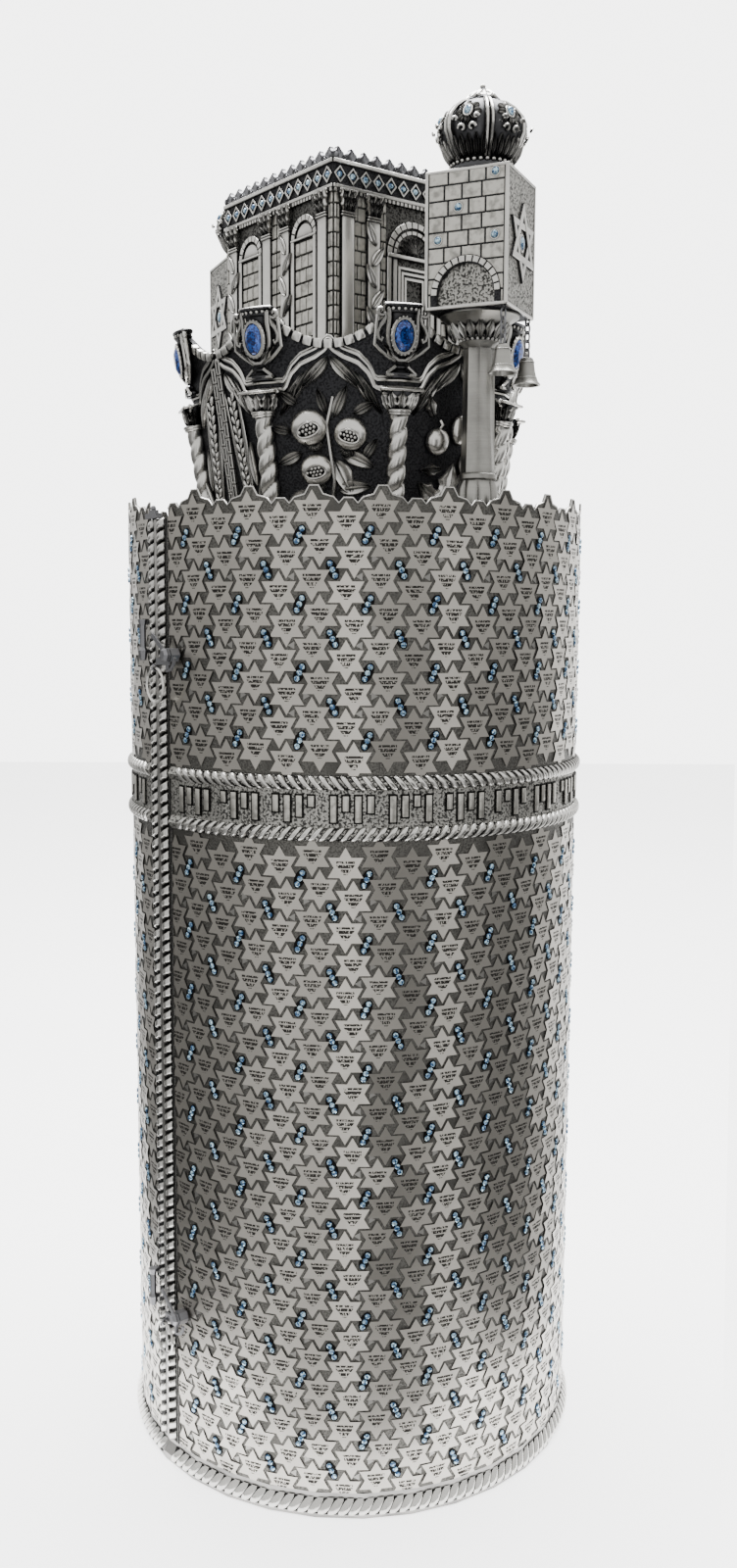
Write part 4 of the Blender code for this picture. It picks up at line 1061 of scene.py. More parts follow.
def strand(pitch: float, height: float, rise: float, lean: float) -> Form:
    """One strand of a rope: a rounded slanting bar, flat in XY.

    Args:
        pitch: from one strand to the next.
        height: how high the rope is.
        rise: how proud its crest is.
        lean: how far the top leans to the left for each unit of height.

    Returns:
        The strand, closed at its back.
    """
    bm = bmesh.new()
    bmesh.ops.create_grid(bm, x_segments=4, y_segments=6, size=0.5)
    for vert in bm.verts:
        s, t = 2 * vert.co.x, 2 * vert.co.y
        crown = math.sqrt(max(0.0, 1 - (0.97 * t) ** 2)) * (1 - 0.90 * abs(s) ** 3.2)
        half = pitch * 0.46 * (1 - 0.35 * abs(t) ** 3)
        vert.co = (s * half - t * height / 2 * lean, t * height / 2, rise * crown)
    close_back(bm, -0.8 * MM)
    return bm


@dataclass
class RopeRings:
    """The roped edges of the text band and of the base, and the band's strokes."""

    pitch: float = 6.2 * MM
    lean: float = 0.80
    rope_height: float = 8.2 * MM
    reach: float = 2.6 * MM
    base_height: float = 9.0 * MM
    base_middle: float = 7.6 * MM

    def ring(
        self, shape: Shape, start: float, end: float, middle: float, height: float, rise: float, lean: float,
    ) -> None:
        """Adds one row of strands to an unrolled shape.

        Args:
            shape: what it is added to.
            start: arc length of its first end.
            end: arc length of its last end.
            middle: height of the middle of the row.
            height: how high the row is.
            rise: how proud its crest is.
            lean: how far a strand's top leans to the left for each unit of height.
        """
        first = math.ceil((start + self.pitch) / self.pitch)
        last = math.floor((end - self.pitch * 0.6) / self.pitch)
        places = [shift(k * self.pitch, middle) for k in range(first, last + 1)]
        shape.stamp(strand(self.pitch, height, rise, lean), places, CAST)
        low = (-self.pitch / 2, -height / 2 + 0.4 * MM, -0.8 * MM)
        shape.stamp(cube(low, (self.pitch / 2, height / 2 - 0.4 * MM, 0.2 * MM)), places, OXIDE_LINE)

    def strokes(self, start: float, end: float, shape: Shape) -> None:
        """Adds the row of plain upright strokes between the ropes, which stand for no letters.

        Args:
            start: arc length of the first end.
            end: arc length of the last end.
            shape: what it is added to.
        """
        middle = (BAND_BOTTOM + BAND_TOP) / 2
        heights = (15.5, 10.0, 15.5, 12.5, 6.5, 15.5, 9.0)
        x, k = start + 11 * MM, 0
        while x < end - 12 * MM:
            high = heights[k % 7] * MM
            top = middle + 7.6 * MM
            outline = cube(mm(-2.7, -0.9, -0.3), (2.7 * MM, high + 0.9 * MM, 0.12 * MM))
            shape.add(outline, shift(x, top - high), OXIDE_LINE)
            bar = cube((-1.85 * MM, 0, -0.3 * MM), (1.85 * MM, high, 0.85 * MM), 0.45 * MM, 2)
            shape.add(bar, shift(x, top - high), BRICK)
            k += 1
            x += (7.2 if k % 4 else 13.0) * MM

    def build(self, side: Side) -> None:
        """Dresses one half's text band and base.

        Args:
            side: which half.
        """
        start, end = skin_span(side)
        band = Shape(f"{side.label}_text_band_relief")
        inset = self.rope_height / 2
        for middle, lean in ((BAND_TOP - inset, self.lean), (BAND_BOTTOM + inset, -self.lean)):
            self.ring(band, start, end, middle, self.rope_height, self.reach + 0.5 * MM, lean)
        self.strokes(start, end, band)
        band.bend(on_case)
        band.done(side.body, "case_silver")
        base = Shape(f"{side.label}_base_rope_relief")
        half = math.pi * CASE_RADIUS
        start, end = sorted((side.value * 0.4 * MM, side.value * (half - 0.4 * MM)))
        self.ring(base, start, end, self.base_middle, self.base_height, 0.9 * MM, -0.65)
        base.bend(self.on_base)
        base.done(side.body, "case_silver")
        dress_node(f"{side.label}_text_band", BAND_GROUND)
        dress_node(f"{side.label}_base_rope", PLAIN)

    def on_base(self, point: Vector) -> Vector:
        """A point of the unrolled base rope on the sloping foot of the case."""
        share = min(1.0, max(0.0, (point.y - 5.7 * MM) / (6.3 * MM)))
        return around(CASE_RADIUS + 3.4 * MM * (1 - share) + point.z, point.x / CASE_RADIUS, point.y)


def dress_node(name: str, finish: Finish) -> None:
    """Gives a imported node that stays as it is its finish.

    Args:
        name: its name.
        finish: the finish.
    """
    node = frame["nodes"][name]
    for slot in node.material_slots:
        slot.material = finish.material()


@dataclass
class SeamStrips:
    """The roped strips at the front seam, with the bright cover bar."""

    foot: float = BASE_TOP + GAP
    top: float = 609.3 * MM
    depth: float = 5.0 * MM
    pitch: float = 7.2 * MM

    def build(self, side: Side) -> None:
        """Makes the strip of one half.

        Args:
            side: which half.
        """
        way = side.value
        rope_x, radius, bead_x = (6.95, 3.6, 11.95) if side is Side.RIGHT else (3.85, 3.3, 8.55)
        width = STRIP_WIDTHS[way]
        length = self.top - self.foot
        shape = Shape(f"{side.label}_seam_strip_roped")
        front = -(SKIN_RADIUS + self.depth - radius * MM)
        edge_back = -math.sqrt(SKIN_RADIUS**2 - width**2)
        low, high = sorted((way * SEAM_GAP, way * (width - 0.2 * MM)))
        shape.add(cube((low, front - 0.2 * MM, self.foot), (high, edge_back, self.top)), Matrix(), OXIDE_LINE)
        count = int(length / self.pitch)
        form = strand(self.pitch, 2 * radius * MM, radius * 0.95 * MM, 0.55)
        form.transform(turn(90))
        heights = [self.foot + (k + 0.5) * length / count for k in range(count)]
        seats = [turned_to(0, Vector((way * rope_x * MM, front, z))) @ shift(z=0.1 * MM) for z in heights]
        shape.stamp(form, seats, CAST)
        if side is Side.RIGHT:
            bar = cube(
                (0.15 * MM, -(SKIN_RADIUS + self.depth * 0.66), self.foot),
                (2.95 * MM, -SKIN_RADIUS, self.top), 0.35 * MM, 2,
            )
            shape.add(bar, Matrix(), PLAIN)
        ends = [(way * bead_x * MM, edge_back - 1.2 * MM, z) for z in (self.foot, self.top)]
        shape.add(tube(ends, 1.0 * MM, 2), Matrix(), FINE)
        shape.done(side.body, "case_silver", [f"{side.label}_seam_strip"])


class Fruit(Enum):
    """What a panel of the coronet shows."""

    POMEGRANATES = "pomegranates"
    FIGS = "figs"
    OLIVES = "olives"
    GRAPES = "grapes"
    DATES = "dates"


@dataclass
class Coronet:
    """The flaring coronet: columns, fruit panels, ogee moulding, garlands and vases with oval stones."""

    foot_radius: float = 93.9 * MM
    flare: float = 0.16
    wall: float = 3.0 * MM
    bay: float = math.radians(45)
    octagon: float = 0.5
    garland_low: float = 711.5 * MM
    garland_high: float = 721.5 * MM
    garland_half: float = math.radians(14.8)
    crest_top: float = 731.0 * MM
    moulding_low: float = 685.0 * MM
    moulding_peak: float = 709.0 * MM
    moulding_flat: float = math.radians(7.7)
    ogee: tuple = ((0, 0), (0.06, 0.17), (0.16, 0.36), (0.37, 0.58), (0.70, 0.73), (0.90, 0.88), (1, 1))
    twist_radius: float = 5.9 * MM
    twist_foot: float = 606.2 * MM
    twist_top: float = 672.0 * MM
    handle: tuple = (
        (1.02, 0.80), (1.10, 0.74), (1.30, 0.68), (1.42, 0.60), (1.36, 0.52), (1.20, 0.49), (1.14, 0.54),
    )
    bracket: tuple = (
        (1.46, 0.84), (1.50, 0.70), (1.52, 0.56), (1.56, 0.44), (1.20, 0.36), (0.72, 0.27), (0.34, 0.22),
    )
    vase_foot: float = 691.0 * MM
    vase_height: float = 41.0 * MM
    vase_radius: float = 10.5 * MM

    def point(self, azimuth: float, z: float, out: float = 0.0) -> Vector:
        """A point on the slightly eight-sided outer face, or proud of it.

        Args:
            azimuth: where it is on the coronet.
            z: its height.
            out: how proud it is.

        Returns:
            The point.
        """
        radius = self.foot_radius + self.flare * (z - ON_LID)
        offset = (azimuth + self.bay / 2) % self.bay - self.bay / 2
        flat = math.cos(self.bay / 2) / math.cos(offset)
        return around(radius * (1 - self.octagon + self.octagon * flat) + out, azimuth, z)

    def frame(self, azimuth: float, z: float, out: float = 0.0) -> Matrix:
        """A frame on the coronet: X to the right, Y up the wall, Z out of it."""
        made = turned_to(azimuth, self.point(azimuth, z), self.flare)
        return made @ shift(z=out)

    def crest(self, azimuth: float) -> float:
        """Height of the wall: along the garlands, and behind the vases.

        Args:
            azimuth: where it is on the coronet.

        Returns:
            The height.
        """
        away = abs((azimuth + self.bay / 2) % self.bay - self.bay / 2)
        if away <= self.garland_half:
            return self.garland_low + (self.garland_high - self.garland_low) * (away / self.garland_half) ** 2
        share = (away - self.garland_half) / (self.bay / 2 - self.garland_half)
        return self.garland_high + (self.crest_top - self.garland_high) * share

    def moulding_height(self, azimuth: float) -> float:
        """Height of the ogee moulding: flat over the capitals, pointed over the panels.

        Args:
            azimuth: where it is on the coronet.

        Returns:
            The height.
        """
        away = self.bay / 2 - abs((azimuth + self.bay / 2) % self.bay - self.bay / 2)
        if away <= self.moulding_flat:
            return self.moulding_low
        share = (away - self.moulding_flat) / (self.bay / 2 - self.moulding_flat)
        for (low, start), (high, end) in zip(self.ogee, self.ogee[1:]):
            if share <= high:
                rise = start + (end - start) * (share - low) / (high - low)
                return self.moulding_low + (self.moulding_peak - self.moulding_low) * rise
        return self.moulding_peak

    def wall_form(self, first: float, last: float) -> Form:
        """The dark wall between two azimuths, from the lid to the crest.

        Args:
            first: the first azimuth.
            last: the last azimuth.

        Returns:
            The wall, closed.
        """
        bm = bmesh.new()
        bmesh.ops.create_grid(bm, x_segments=80, y_segments=4, size=0.5)
        for vert in bm.verts:
            azimuth = first + (last - first) * (vert.co.x + 0.5)
            z = ON_LID + (self.crest(azimuth) - ON_LID) * (vert.co.y + 0.5)
            vert.co = self.point(azimuth, z)
        bmesh.ops.recalc_face_normals(bm, faces=bm.faces)
        face = bm.faces[:][0]
        if face.normal.xy.dot(face.calc_center_median().xy) < 0:
            bmesh.ops.reverse_faces(bm, faces=bm.faces)
            bm.normal_update()
        bmesh.ops.solidify(bm, geom=bm.faces[:], thickness=self.wall)
        bmesh.ops.recalc_face_normals(bm, faces=bm.faces)
        return bm

    def along(
        self, first: float, last: float, height: Callable[[float], float], out: float, step: float,
    ) -> list:
        """Points on the wall along a line given as a height by azimuth.

        Args:
            first: the first azimuth.
            last: the last azimuth.
            height: the height, by azimuth.
            out: how proud it is.
            step: the azimuth from point to point.

        Returns:
            The points.
        """
        count = max(2, round(abs(last - first) / step))
        azimuths = [first + (last - first) * k / count for k in range(count + 1)]
        return [self.point(a, height(a), out) for a in azimuths]

    def column(self, shape: Shape, azimuth: float) -> None:
        """Adds a twisted column with its ring base and its leaf capital.

        Args:
            shape: what it is added to.
            azimuth: where it is on the coronet.
        """
        place = self.frame(azimuth, self.twist_foot, self.twist_radius * 0.35) @ UPRIGHT
        rope = twisted(self.twist_top - self.twist_foot, self.twist_radius, 22 * MM, 2, 20, 24, 0.30, -1)
        shape.add(rope, place, CAST)
        head = self.frame(azimuth, self.twist_top, self.twist_radius * 0.35)
        for level, radius in ((-1.0, 7.0), (0.5, 7.6)):
            ring = lathe([mm(radius, 0.9), mm(radius, -0.9), mm(3, -0.9), mm(3, 0.9)], 18)
            round_edges(ring, ring.edges[:], 0.4 * MM)
            shape.add(ring, head @ UPRIGHT @ shift(z=level * MM), CAST)
        core = ((0, 13), (11.5, 13), (11.5, 11.6), (8.2, 7.0), (6.6, 2.0), (6.4, 0), (0, 0))
        bell = lathe([mm(*point) for point in core], 20)
        shape.add(bell, head @ scale(1, 1, 0.6) @ UPRIGHT, SHADOWED)
        for k in range(-2, 3):
            petal = leaf(12.5 * MM, 7.2 * MM, 2.2 * MM, 0, 3)
            root = head @ scale(1, 1, 0.6) @ turn(k * 36, "Y") @ shift(z=6.4 * MM) @ turn(20, "X")
            shape.add(petal, root @ shift(y=0.6 * MM), CAST)
        shape.add(cube(mm(-13, 11.6, 0), mm(13, 13.2, 7.5), 0.5 * MM), head, CAST)
        for way in (-1, 1):
            volute = scroll((9.5, 11.0), (3.4, 3.0), 0.3, 0.75, 9, way, 2.5)
            shape.add(tube(volute, 1.15 * MM), head, CAST)

    def vase(self, shape: Shape, stones: Shape, azimuth: float) -> None:
        """Adds a two-handled vase, and its oval stone to the other shape.

        Args:
            shape: what it is added to.
            stones: what its stones are added to.
            azimuth: where it is on the coronet.
        """
        base = self.frame(azimuth, self.vase_foot)
        wide, high = self.vase_radius, self.vase_height
        shares = [
            (0, 1), (1.08, 1), (1.14, 0.985), (1.08, 0.97), (0.96, 0.96), (0.88, 0.93), (0.98, 0.905),
            (0.94, 0.89), (0.74, 0.87), (0.70, 0.80), (0.74, 0.66), (0.74, 0.50), (0.64, 0.38), (0.44, 0.29),
            (0.24, 0.22), (0.22, 0.18), (0.40, 0.155), (0.40, 0.13), (0.30, 0.115), (0.62, 0.075),
            (0.84, 0.06), (0.84, 0.035), (0.72, 0.03), (0.72, 0), (0, 0),
        ]
        body = lathe([(r * wide, z * high) for r, z in shares], 28)
        for vert in body.verts:
            share = vert.co.z / high
            if 0.2 < share < 0.45:
                angle = math.atan2(vert.co.y, vert.co.x)
                lobe = 1 + 0.09 * abs(math.cos(7 * angle)) * math.sin(math.pi * (share - 0.2) / 0.25)
                vert.co.x *= lobe
                vert.co.y *= lobe
        shape.add(body, base @ scale(1, 1, 0.55) @ UPRIGHT, SHADOWED)
        depth = self.vase_radius * 0.55
        edge = (
            (0.84, 0.93), (0.80, 0.80), (0.83, 0.66), (0.82, 0.52), (0.70, 0.38), (0.48, 0.29), (0.20, 0.235),
        )
        rim = [(-x, y, 2.4) for x, y in edge] + [(x, y, 2.4) for x, y in edge[::-1]]
        lip = [(0.35 * k, 0.985, 3.0 * (1 - (0.35 * k) ** 2) + 1.2) for k in range(-3, 4)]
        feet = [[(way * 0.84, 0.05, 3.0), (way * 0.34, 0.15, 3.4)] for way in (-1, 1)]
        step = [(-0.88, 0.04, 3.0), (0.88, 0.04, 3.0)]
        for line, size in ((rim, 1.35), (lip, 1.15), (feet[0], 1.0), (feet[1], 1.0), (step, 1.1)):
            path = [(x * wide, y * high, z * MM) for x, y, z in line]
            shape.add(tube(path, size * MM), base, CAST)
        for k in range(7):
            angle = math.radians(-66 + 22 * k)
            bead = globe(mm(1.15, 1.15, 1.0), 8, 5)
            at = Vector((math.sin(angle) * wide * 0.92, high * 0.932, math.cos(angle) * depth * 0.92))
            shape.add(bead, base @ Matrix.Translation(at), CAST)
        for way in (-1, 1):
            curl = []
            for j in range(11, -1, -1):
                angle = 0.55 * j - 2.6
                across, up = (0.27 - 0.022 * j) * math.cos(angle), (0.07 - 0.0055 * j) * math.sin(angle)
                curl.append((1.27 + across, 0.895 + up))
            for points, size in (([*curl, *self.handle], 1.30), (self.bracket, 1.0)):
                path = [(way * x * wide, y * high, 1.3 * MM) for x, y in points]
                shape.add(tube(path, size * MM), base, CAST)
            wrap = leaf(13 * MM, 5.6 * MM, 2.2 * MM, way * 2 * MM, 2)
            shape.add(wrap, base @ shift(way * 2 * MM, high * 0.22, 2.0 * MM) @ turn(-way * 38), CAST)
        seat = base @ shift(y=high * 0.565, z=depth * 0.90)
        shape.add(tube(oval(6.6 * MM, 9.7 * MM, 28), 1.25 * MM, cyclic=True), seat, CAST)
        beads = [seat @ shift(*point) for point in oval(7.6 * MM, 10.6 * MM, 22, 0.3 * MM)]
        shape.stamp(globe(mm(0.7, 0.7, 0.6), 6, 4), beads, CAST)
        rows = [(0, 3.1), (0.55, 3.0), (0.86, 1.9), (1.0, 0.6), (0.9, -1.0), (0, -1.6)]
        stones.add(cut_stone(rows, 14, 5.9 * MM, 9.0 * MM), seat, BIG_STONE)

    def pomegranate(self, shape: Shape, place: Matrix, radius: float, gap_turn: float) -> None:
        """Adds an open pomegranate with its seeds and its crown.

        Args:
            shape: what it is added to.
            place: its frame.
            radius: its radius.
            gap_turn: its turn, in degrees.
        """
        body = globe((radius, radius * 0.97, radius * 0.72), 20, 14, 1.5 * MM)
        shape.add(body, place, CAST)
        seat = place @ turn(gap_turn) @ shift(y=-0.10 * radius)
        # The dark gap is painted shade that stands for the hollow of the opening.
        gap = globe((radius * 0.56, radius * 0.33, radius * 0.24), 16, 8)
        shape.add(gap, seat @ shift(z=radius * 0.54), PAINTED_OPENING_SHADE)
        seeds = []
        for i in range(-2, 3):
            for j in (-1, 0, 1):
                if abs(i) + abs(j) < 3:
                    x, y = radius * 0.21 * (i + 0.5 * (j % 2) - 0.2), radius * 0.19 * j
                    seeds.append(seat @ shift(x, y, radius * (0.80 - 0.03 * abs(i) - 0.03 * abs(j))))
        shape.stamp(globe((radius * 0.10, radius * 0.10, radius * 0.09), 8, 5), seeds, CAST)
        lips = [(x, y - 0.06 * x * x, 0.69 - 0.12 * x * x) for x, y, _ in oval(1, 0.37, 18)]
        rim = [(radius * 0.60 * x, radius * y, radius * z) for x, y, z in lips]
        shape.add(tube(rim, radius * 0.07, cyclic=True), seat, CAST)
        for k in range(-2, 3):
            tip = leaf(radius * 0.55, radius * 0.30, 1.0 * MM)
            crown = place @ turn(gap_turn + 180) @ shift(y=radius * 0.80, z=radius * 0.10)
            shape.add(tip, crown @ turn(-k * 24), CAST)

    def round_fruit(
        self, shape: Shape, place: Matrix, x: float, y: float, radius: float, length: float,
        stem: bool = True,
    ) -> None:
        """Adds a plain round or long fruit with a small stem.

        Args:
            shape: what it is added to.
            place: its frame.
            x: how far right it is.
            y: how far up it is.
            radius: its radius.
            length: its length, as a share of its width.
            stem: whether it has a stem.
        """
        seat, radius = place @ shift(*mm(x, y, 1)), radius * MM
        top = radius * length
        shape.add(globe((radius, top, radius * 0.7), 18, 12, 1.2 * MM), seat, CAST)
        if stem:
            low = radius * 0.2
            path = [(0, top * 0.9, low), (low, top * 1.2, low), (0.1 * radius, top * 1.5, 0)]
            shape.add(tube(path, 0.8 * MM), seat, CAST)

    def leaves(self, shape: Shape, place: Matrix, entries: Sequence) -> None:
        """Adds leaves: x, y, length, width, angle in degrees and lobes, in millimetres.

        Args:
            shape: what it is added to.
            place: its frame.
            entries: a row for each leaf.
        """
        for x, y, length, width, angle, lobes in entries:
            form = leaf(length * MM, width * MM, 2.4 * MM, 0.08 * length * MM, lobes)
            shape.add(form, place @ shift(x * MM, y * MM) @ turn(angle), CAST)

    def panel(self, shape: Shape, kind: Fruit, azimuth: float) -> None:
        """Adds one of the fruit panels.

        Args:
            shape: what it is added to.
            kind: which fruit.
            azimuth: the middle of the panel.
        """
        place = self.frame(azimuth, ON_LID)
        stalk = []
        if kind is Fruit.POMEGRANATES:
            fruits = ((-12.7, 58.5, 11.2, 20), (12.3, 54.5, 10.2, -15), (-8.7, 34.0, 10.0, 10))
            for x, y, radius, angle in fruits:
                self.pomegranate(shape, place @ shift(*mm(x, y, 1.5)), radius * MM, angle)
            foliage = [
                (2, 64, 20, 8, -20, 0), (-2, 66, 16, 6, 25, 0), (6, 44, 22, 10, -110, 0),
                (2, 40, 24, 12, -150, 0), (-18, 44, 16, 8, 120, 0), (14, 66, 14, 7, -60, 0),
                (4, 22, 20, 10, -80, 0), (-20, 72, 12, 6, 60, 0), (-14, 22, 18, 9, 130, 0),
                (20, 40, 14, 7, -30, 0), (-24, 56, 12, 6, 80, 0),
            ]
            stalk, thick = [(0, 12, 1), (2, 28, 2), (0, 44, 2), (-2, 60, 2), (2, 76, 1)], 1.2
        elif kind is Fruit.FIGS:
            for x, y, radius, length in ((-12, 52, 8.2, 1.0), (5, 60, 6.6, 1.4), (14, 40, 7.4, 1.15)):
                self.round_fruit(shape, place, x, y, radius, length)
            foliage = [
                (0, 10, 30, 22, 0, 3), (-2, 14, 24, 15, 62, 3), (2, 14, 24, 15, -62, 3),
                (-6, 36, 16, 8, 100, 2), (16, 52, 16, 8, -50, 2), (0, 10, 18, 12, 105, 2),
                (0, 10, 18, 12, -105, 2), (-16, 66, 14, 8, 30, 2),
            ]
        elif kind is Fruit.GRAPES:
            for row, count in enumerate((5, 4, 4, 3, 2, 1)):
                for k in range(count):
                    x = (k - (count - 1) / 2) * 7.4
                    self.round_fruit(shape, place, x, 58 - 7.2 * row, 4.0, 1.0, False)
            foliage = [
                (0, 62, 20, 16, 62, 3), (0, 62, 20, 16, -62, 3),
                (-12, 30, 16, 12, 150, 3), (12, 30, 16, 12, -150, 3),
            ]
        elif kind is Fruit.DATES:
            foliage = [(0, 34, 34, 6, 24 * k, 0) for k in range(-4, 5)]
            for k in range(-3, 4):
                self.round_fruit(shape, place, 5.0 * k, 24 - 2.2 * abs(k), 3.2, 1.7, False)
            stalk, thick = [(0, 4, 1), (0, 20, 2), (0, 36, 1)], 2.2
        else:
            for x, y in ((-9, 56), (8, 50), (-7, 34), (9, 28), (0, 66), (0, 42)):
                self.round_fruit(shape, place, x, y, 3.8, 1.5)
            foliage = [(0, 14 + 9 * k, 20, 6, way * (52 + 4 * k), 0) for k in range(6) for way in (-1, 1)]
        self.leaves(shape, place, foliage)
        if stalk:
            shape.add(tube([mm(*point) for point in stalk], thick * MM), place, CAST)

    def wheat(self, shape: Shape, middle: float, way: int) -> None:
        """Adds an ear of wheat beside the seam, and the chain of links on it.

        Args:
            shape: what it is added to.
            middle: the azimuth of the seam.
            way: 1 where X runs into the half, or -1.
        """
        place = self.frame(middle + way * math.radians(1.5), ON_LID)
        stem = [mm(way * (17 - 0.09 * y), y, 0.4) for y in (2, 30, 60, 84)]
        shape.add(tube(stem, 0.7 * MM), place, CAST)
        grains = []
        for k in range(12):
            for lean in (-1, 1):
                y = 16 + 5.6 * k + (2.8 if lean > 0 else 0)
                x = way * (17 - 0.09 * y) + lean * 1.9
                grains.append(place @ shift(*mm(x, y, 0.8)) @ turn(-lean * 24))
        shape.stamp(globe(mm(1.5, 3.1, 1.5), 8, 6), grains, CAST)
        beards = ((-1, 8, 60), (-1, 22, 58), (1, 10, 56), (1, 24, 52), (-1, 36, 50), (1, 38, 44))
        for lean, root, length in beards:
            path = []
            for t in [j / 8 for j in range(9)]:
                bow = lean * (2.5 + 4.5 * math.sin(math.pi * 0.55 * t))
                path.append(mm(way * (17 - 0.09 * root - 5.4 * t) + bow, root + length * t, 0.5))
            shape.add(tube(path, 0.6 * MM), place, CAST)
        for x, y, length, angle in ((24, 8, 30, 14), (24, 26, 26, -10), (10, 6, 24, 18)):
            blade = leaf(length * MM, 4.4 * MM, 1.6 * MM, way * 3 * MM)
            shape.add(blade, place @ shift(way * x * MM, y * MM) @ turn(-way * angle), CAST)
        column = self.frame(middle + way * math.radians(1.55), ON_LID)
        for k in range(11):
            low = (0.5 if way > 0 else -4.0) + 9.4 * k
            high = low + 8.9
            if high > 106:
                continue
            rim, hole = [
                [mm(-half, bottom), mm(half, bottom), mm(half, top), mm(-half, top)]
                for half, bottom, top in ((2.2, low, high), (1.1, low + 1.3, high - 1.3))
            ]
            shape.add(plate([rim, hole], 2.4 * MM, 0.3 * MM), column @ shift(z=-0.4 * MM), CAST)
            shape.add(cube(mm(-1.3, low + 1.1, -1), mm(1.3, high - 1.1, 1.3)), column, FINE)

    def build(self, side: Side) -> None:
        """Makes one half of the coronet and its four stones.

        Args:
            side: which half.
        """
        way = side.value
        edge = math.asin(SEAM_GAP / self.foot_radius)
        first, last = sorted((way * edge, way * (math.pi - edge * 2)))
        wall = Shape(f"{side.label}_coronet_wall")
        wall.add(self.wall_form(first, last), Matrix(), BLACK_GROUND)
        work = Shape(f"{side.label}_coronet_relief")
        stones = Shape(f"{side.label}_vase_stones")
        for k in range(4):
            azimuth = way * (self.bay / 2 + k * self.bay)
            self.column(work, azimuth)
            self.vase(work, stones, azimuth)
        inset = math.radians(0.7)
        low, high = sorted((way * inset, way * (math.pi - inset)))
        step = math.radians(1.0)
        for rise, radius, out in ((0.0, 1.35, 1.0), (4.6, 1.0, 0.8), (6.4, 0.6, 0.6)):
            path = self.along(low, high, lambda a, r=rise: self.moulding_height(a) + r * MM, out * MM, step)
            work.add(tube(path, radius * MM), Matrix(), CAST)
        self.drapery(work, low, high)
        self.garlands(work, way)
        fruits = (Fruit.POMEGRANATES, Fruit.FIGS) if side is Side.RIGHT else (Fruit.GRAPES, Fruit.DATES)
        for k, kind in enumerate((*fruits, Fruit.OLIVES), 1):
            self.panel(work, kind, way * k * self.bay)
        self.wheat(work, 0.0, way)
        self.wheat(work, math.pi, -way)
        foot = self.along(low, high, lambda a: ON_LID + 1.6 * MM, 0.6 * MM, math.radians(2))
        work.add(tube(foot, 1.5 * MM), Matrix(), CAST)
        trim(work.bm, (((way * SEAM_GAP, 0, 0), (-way, 0, 0)), ((0, 0, ON_LID), (0, 0, -1))))
        wall.done(side.body, "dark_silver", [f"{side.label}_coronet"])
        work.done(side.body, "dark_silver", sharp=40)
        names = [f"{side.label}_vase_stone_{k}" for k in range(1, 5)]
        stones.done(side.body, "blue_stone", names, sharp=10)

    def drapery(self, shape: Shape, low: float, high: float) -> None:
        """Adds the row of overlapping leaves that hangs under the moulding.

        Args:
            shape: what it is added to.
            low: the first azimuth.
            high: the last azimuth.
        """
        hanging = (
            (0.6, 703, 24, 8.0, 36), (8.0, 699, 22, 7.0, 30), (15.5, 694.5, 29, 7.6, 27),
            (21.5, 690, 22, 6.0, 16),
        )
        for k in range(-4, 5):
            middle = k * self.bay
            for way in (-1, 1):
                for x, z, length, width, angle in hanging:
                    azimuth = middle + way * x * MM / 0.107
                    if not low + 0.02 < azimuth < high - 0.02:
                        continue
                    place = self.frame(azimuth, z * MM, 0.4 * MM)
                    form = leaf(length * MM, width * MM, 2.3 * MM, -way * 4 * MM)
                    shape.add(form, place @ turn(180 + way * angle), CAST)

    def garlands(self, shape: Shape, way: int) -> None:
        """Adds the garlands of small blocks between the vases.

        Args:
            shape: what it is added to.
            way: 1 towards the right half, -1 towards the left.
        """
        for k in range(5):
            for j in range(9):
                azimuth = way * k * self.bay + self.garland_half * ((j + 0.5) / 4.5 - 1)
                if abs(math.sin(azimuth)) * self.foot_radius < 2.5 * MM:
                    continue
                rise = self.crest(azimuth + 0.02) - self.crest(azimuth - 0.02)
                angle = math.degrees(math.atan2(rise, 0.04 * self.foot_radius * 1.15))
                block = cube(mm(-2.9, -2.7, -1.5), mm(2.9, 2.7, 2.9), 1.1 * MM, 2)
                place = self.frame(azimuth, self.crest(azimuth) - 1.6 * MM)
                shape.add(block, place @ turn(angle), CAST)


@dataclass(frozen=True)
class Facade:
    """One face of a building: its frame at the frieze line, and how far it runs to each side."""

    frame: Matrix
    left: float
    right: float


